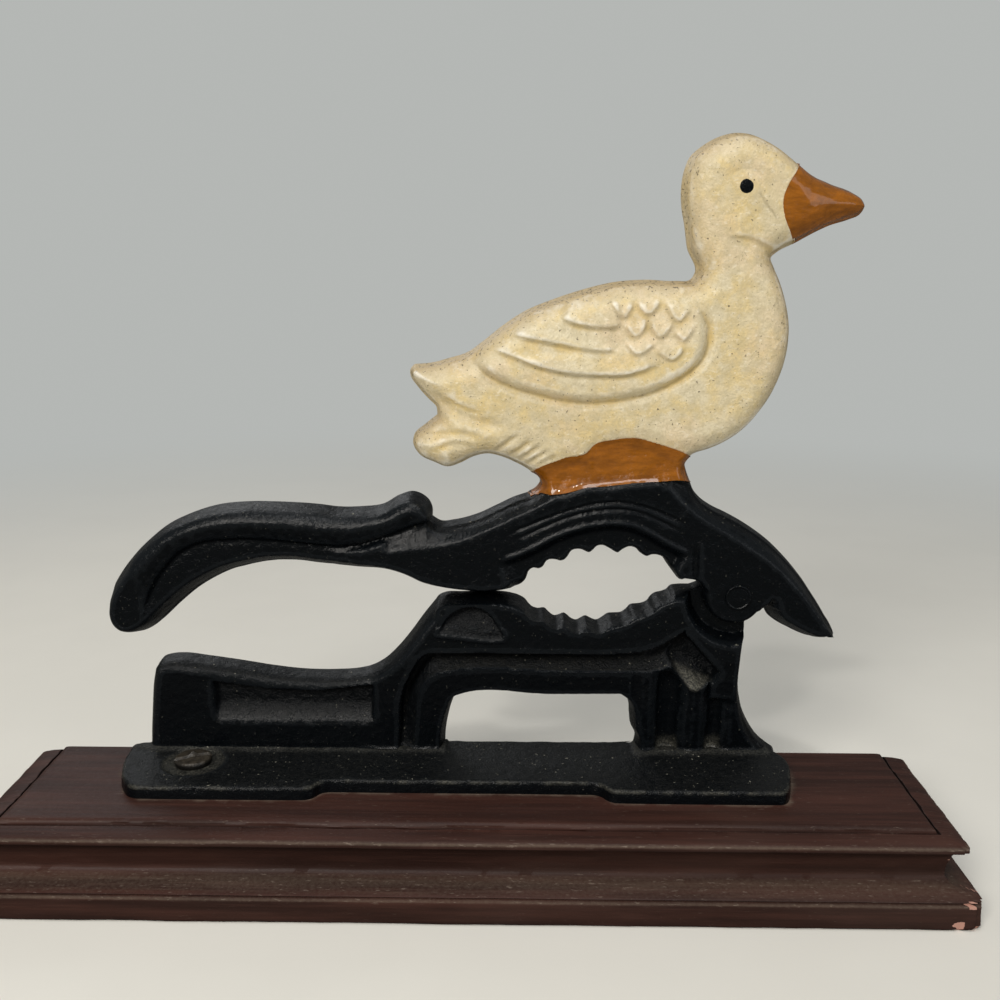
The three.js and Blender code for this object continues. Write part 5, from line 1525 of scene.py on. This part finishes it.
def placed(name, data, place, side, up, forward):
    """An object of the stage at the place, which looks along forward."""
    obj = bpy.data.objects.new(name, data)
    bpy.context.scene.collection.objects.link(obj)
    turn = np.stack([side, up, -forward], axis=1)
    obj.matrix_world = Matrix.Translation(place) @ Matrix(turn.tolist()).to_4x4()
    return obj


def lamp(name, place, target, size, power, colour):
    """A soft square lamp aimed at the target, all in metres and watts."""
    light = bpy.data.lights.new(name, "AREA")
    light.shape, light.size, light.energy, light.color = "SQUARE", size, power, colour
    forward = np.array(target, float) - place
    forward /= np.linalg.norm(forward)
    side = np.cross(forward, (0, 0, 1))
    side /= np.linalg.norm(side)
    placed(name, light, place, side, np.cross(side, forward), forward)


def ray_is(nodes, kind):
    """1 for rays of the kind, 0 for others."""
    return nodes.node("ShaderNodeLightPath", {}, {}, kind)


def floor_paper(colours):
    """Pale paper, darker to mirror-like rays, that turns into the backdrop's grey with the distance."""
    f = new_finish("floor_paper")
    mottled = f.noise(60.0, 3).between(0.3, 0.7)
    paper = f.mix(mottled * 0.25, colours.floor, tinted(colours.floor, 0.9))
    paper = f.node("ShaderNodeBsdfDiffuse", {}, {"Color": paper})
    glow = f.node("ShaderNodeEmission", {}, {"Color": (*colours.wall, 1.0)})
    dim = f.node("ShaderNodeBsdfDiffuse", {}, {"Color": MIRRORED_FLOOR})
    away = f.node("ShaderNodeVectorMath", {"operation": "LENGTH"}, {0: f.place()}, "Value")
    mirrored = ray_is(f, "Is Glossy Ray") * 0.85
    paper = f.node("ShaderNodeMixShader", {}, {0: mirrored, 1: paper, 2: dim})
    far = away.between(WALL_FROM, WALL_TO) * ray_is(f, "Is Camera Ray")
    return f.ended(f.node("ShaderNodeMixShader", {}, {0: far, 1: paper, 2: glow}))


def studio(colours):
    """A world that lights softly and shows the backdrop's grey to the camera."""
    f = Finish(bpy.data.worlds.new("studio"))
    light = f.node("ShaderNodeBackground", {}, {"Color": DAYLIGHT, "Strength": DAYLIGHT_STRENGTH})
    backdrop = f.node("ShaderNodeBackground", {}, {"Color": (*colours.wall, 1), "Strength": 1.0})
    mixed = f.node("ShaderNodeMixShader", {}, {0: ray_is(f, "Is Camera Ray"), 1: light, 2: backdrop})
    return f.ended(mixed, "ShaderNodeOutputWorld")


class PRESS_OT_stage(bpy.types.Operator):
    """Set up the pale floor, the soft lamps and the camera."""

    bl_idname = "press.make_stage"
    bl_label = "Stage"

    def execute(self, context):
        scene, colours = context.scene, context.scene.press_colours
        mesh = bpy.data.meshes.new("floor")
        corners = [(x * STAGE_REACH, y * STAGE_REACH, 0) for x, y in ((-1, -1), (1, -1), (1, 1), (-1, 1))]
        mesh.from_pydata(corners, [], [(0, 1, 2, 3)])
        mesh.materials.append(floor_paper(colours))
        floor = bpy.data.objects.new("floor", mesh)
        scene.collection.objects.link(floor)
        scene.world = studio(colours)
        for row in LAMPS:
            lamp(*row)

        yaw, pitch, roll = CAMERA_YAW, CAMERA_PITCH, CAMERA_ROLL
        right = np.array([np.cos(yaw), -np.sin(yaw), 0])
        forward = np.array([np.cos(pitch) * np.sin(yaw), np.cos(pitch) * np.cos(yaw), -np.sin(pitch)])
        up = np.cross(right, forward)
        side, top = np.cos(roll) * right + np.sin(roll) * up, np.cos(roll) * up - np.sin(roll) * right
        camera = bpy.data.cameras.new("camera")
        camera.sensor_width, camera.lens, camera.clip_start = SENSOR_WIDTH, LENS, NEAREST_SEEN
        scene.camera = placed("camera", camera, CAMERA_PLACE, side, top, forward)
        scene.view_settings.view_transform = "Standard"
        return {"FINISHED"}


class PRESS_PT_panel(bpy.types.Panel):
    """Lists the pieces and what can be changed."""

    bl_label = "Nutcracker press"
    bl_idname = "PRESS_PT_panel"
    bl_space_type = "VIEW_3D"
    bl_region_type = "UI"
    bl_category = "Nutcracker"

    def draw(self, context):
        for group in (context.scene.press_sizes, context.scene.press_colours):
            box = self.layout.box()
            for key in group.bl_rna.properties.keys():
                if key not in ("rna_type", "name"):
                    box.prop(group, key)
        for operator in OPERATORS:
            self.layout.operator(operator.bl_idname)


OPERATORS = (
    PRESS_OT_plinth, PRESS_OT_base, PRESS_OT_lever, PRESS_OT_goose, PRESS_OT_fasteners, PRESS_OT_stage,
)
CLASSES = (PressSizes, PressColours, *OPERATORS, PRESS_PT_panel)


def register():
    for made in CLASSES:
        bpy.utils.register_class(made)
    bpy.types.Scene.press_sizes = PointerProperty(type=PressSizes)
    bpy.types.Scene.press_colours = PointerProperty(type=PressColours)


def unregister():
    del bpy.types.Scene.press_colours
    del bpy.types.Scene.press_sizes
    for made in reversed(CLASSES):
        bpy.utils.unregister_class(made)


def main():
    register()
    bpy.ops.press.make_plinth()
    bpy.ops.press.make_base()
    bpy.ops.press.make_lever()
    bpy.ops.press.make_goose()
    bpy.ops.press.make_fasteners()
    bpy.ops.press.make_stage()


if __name__ == "__main__":
    main()
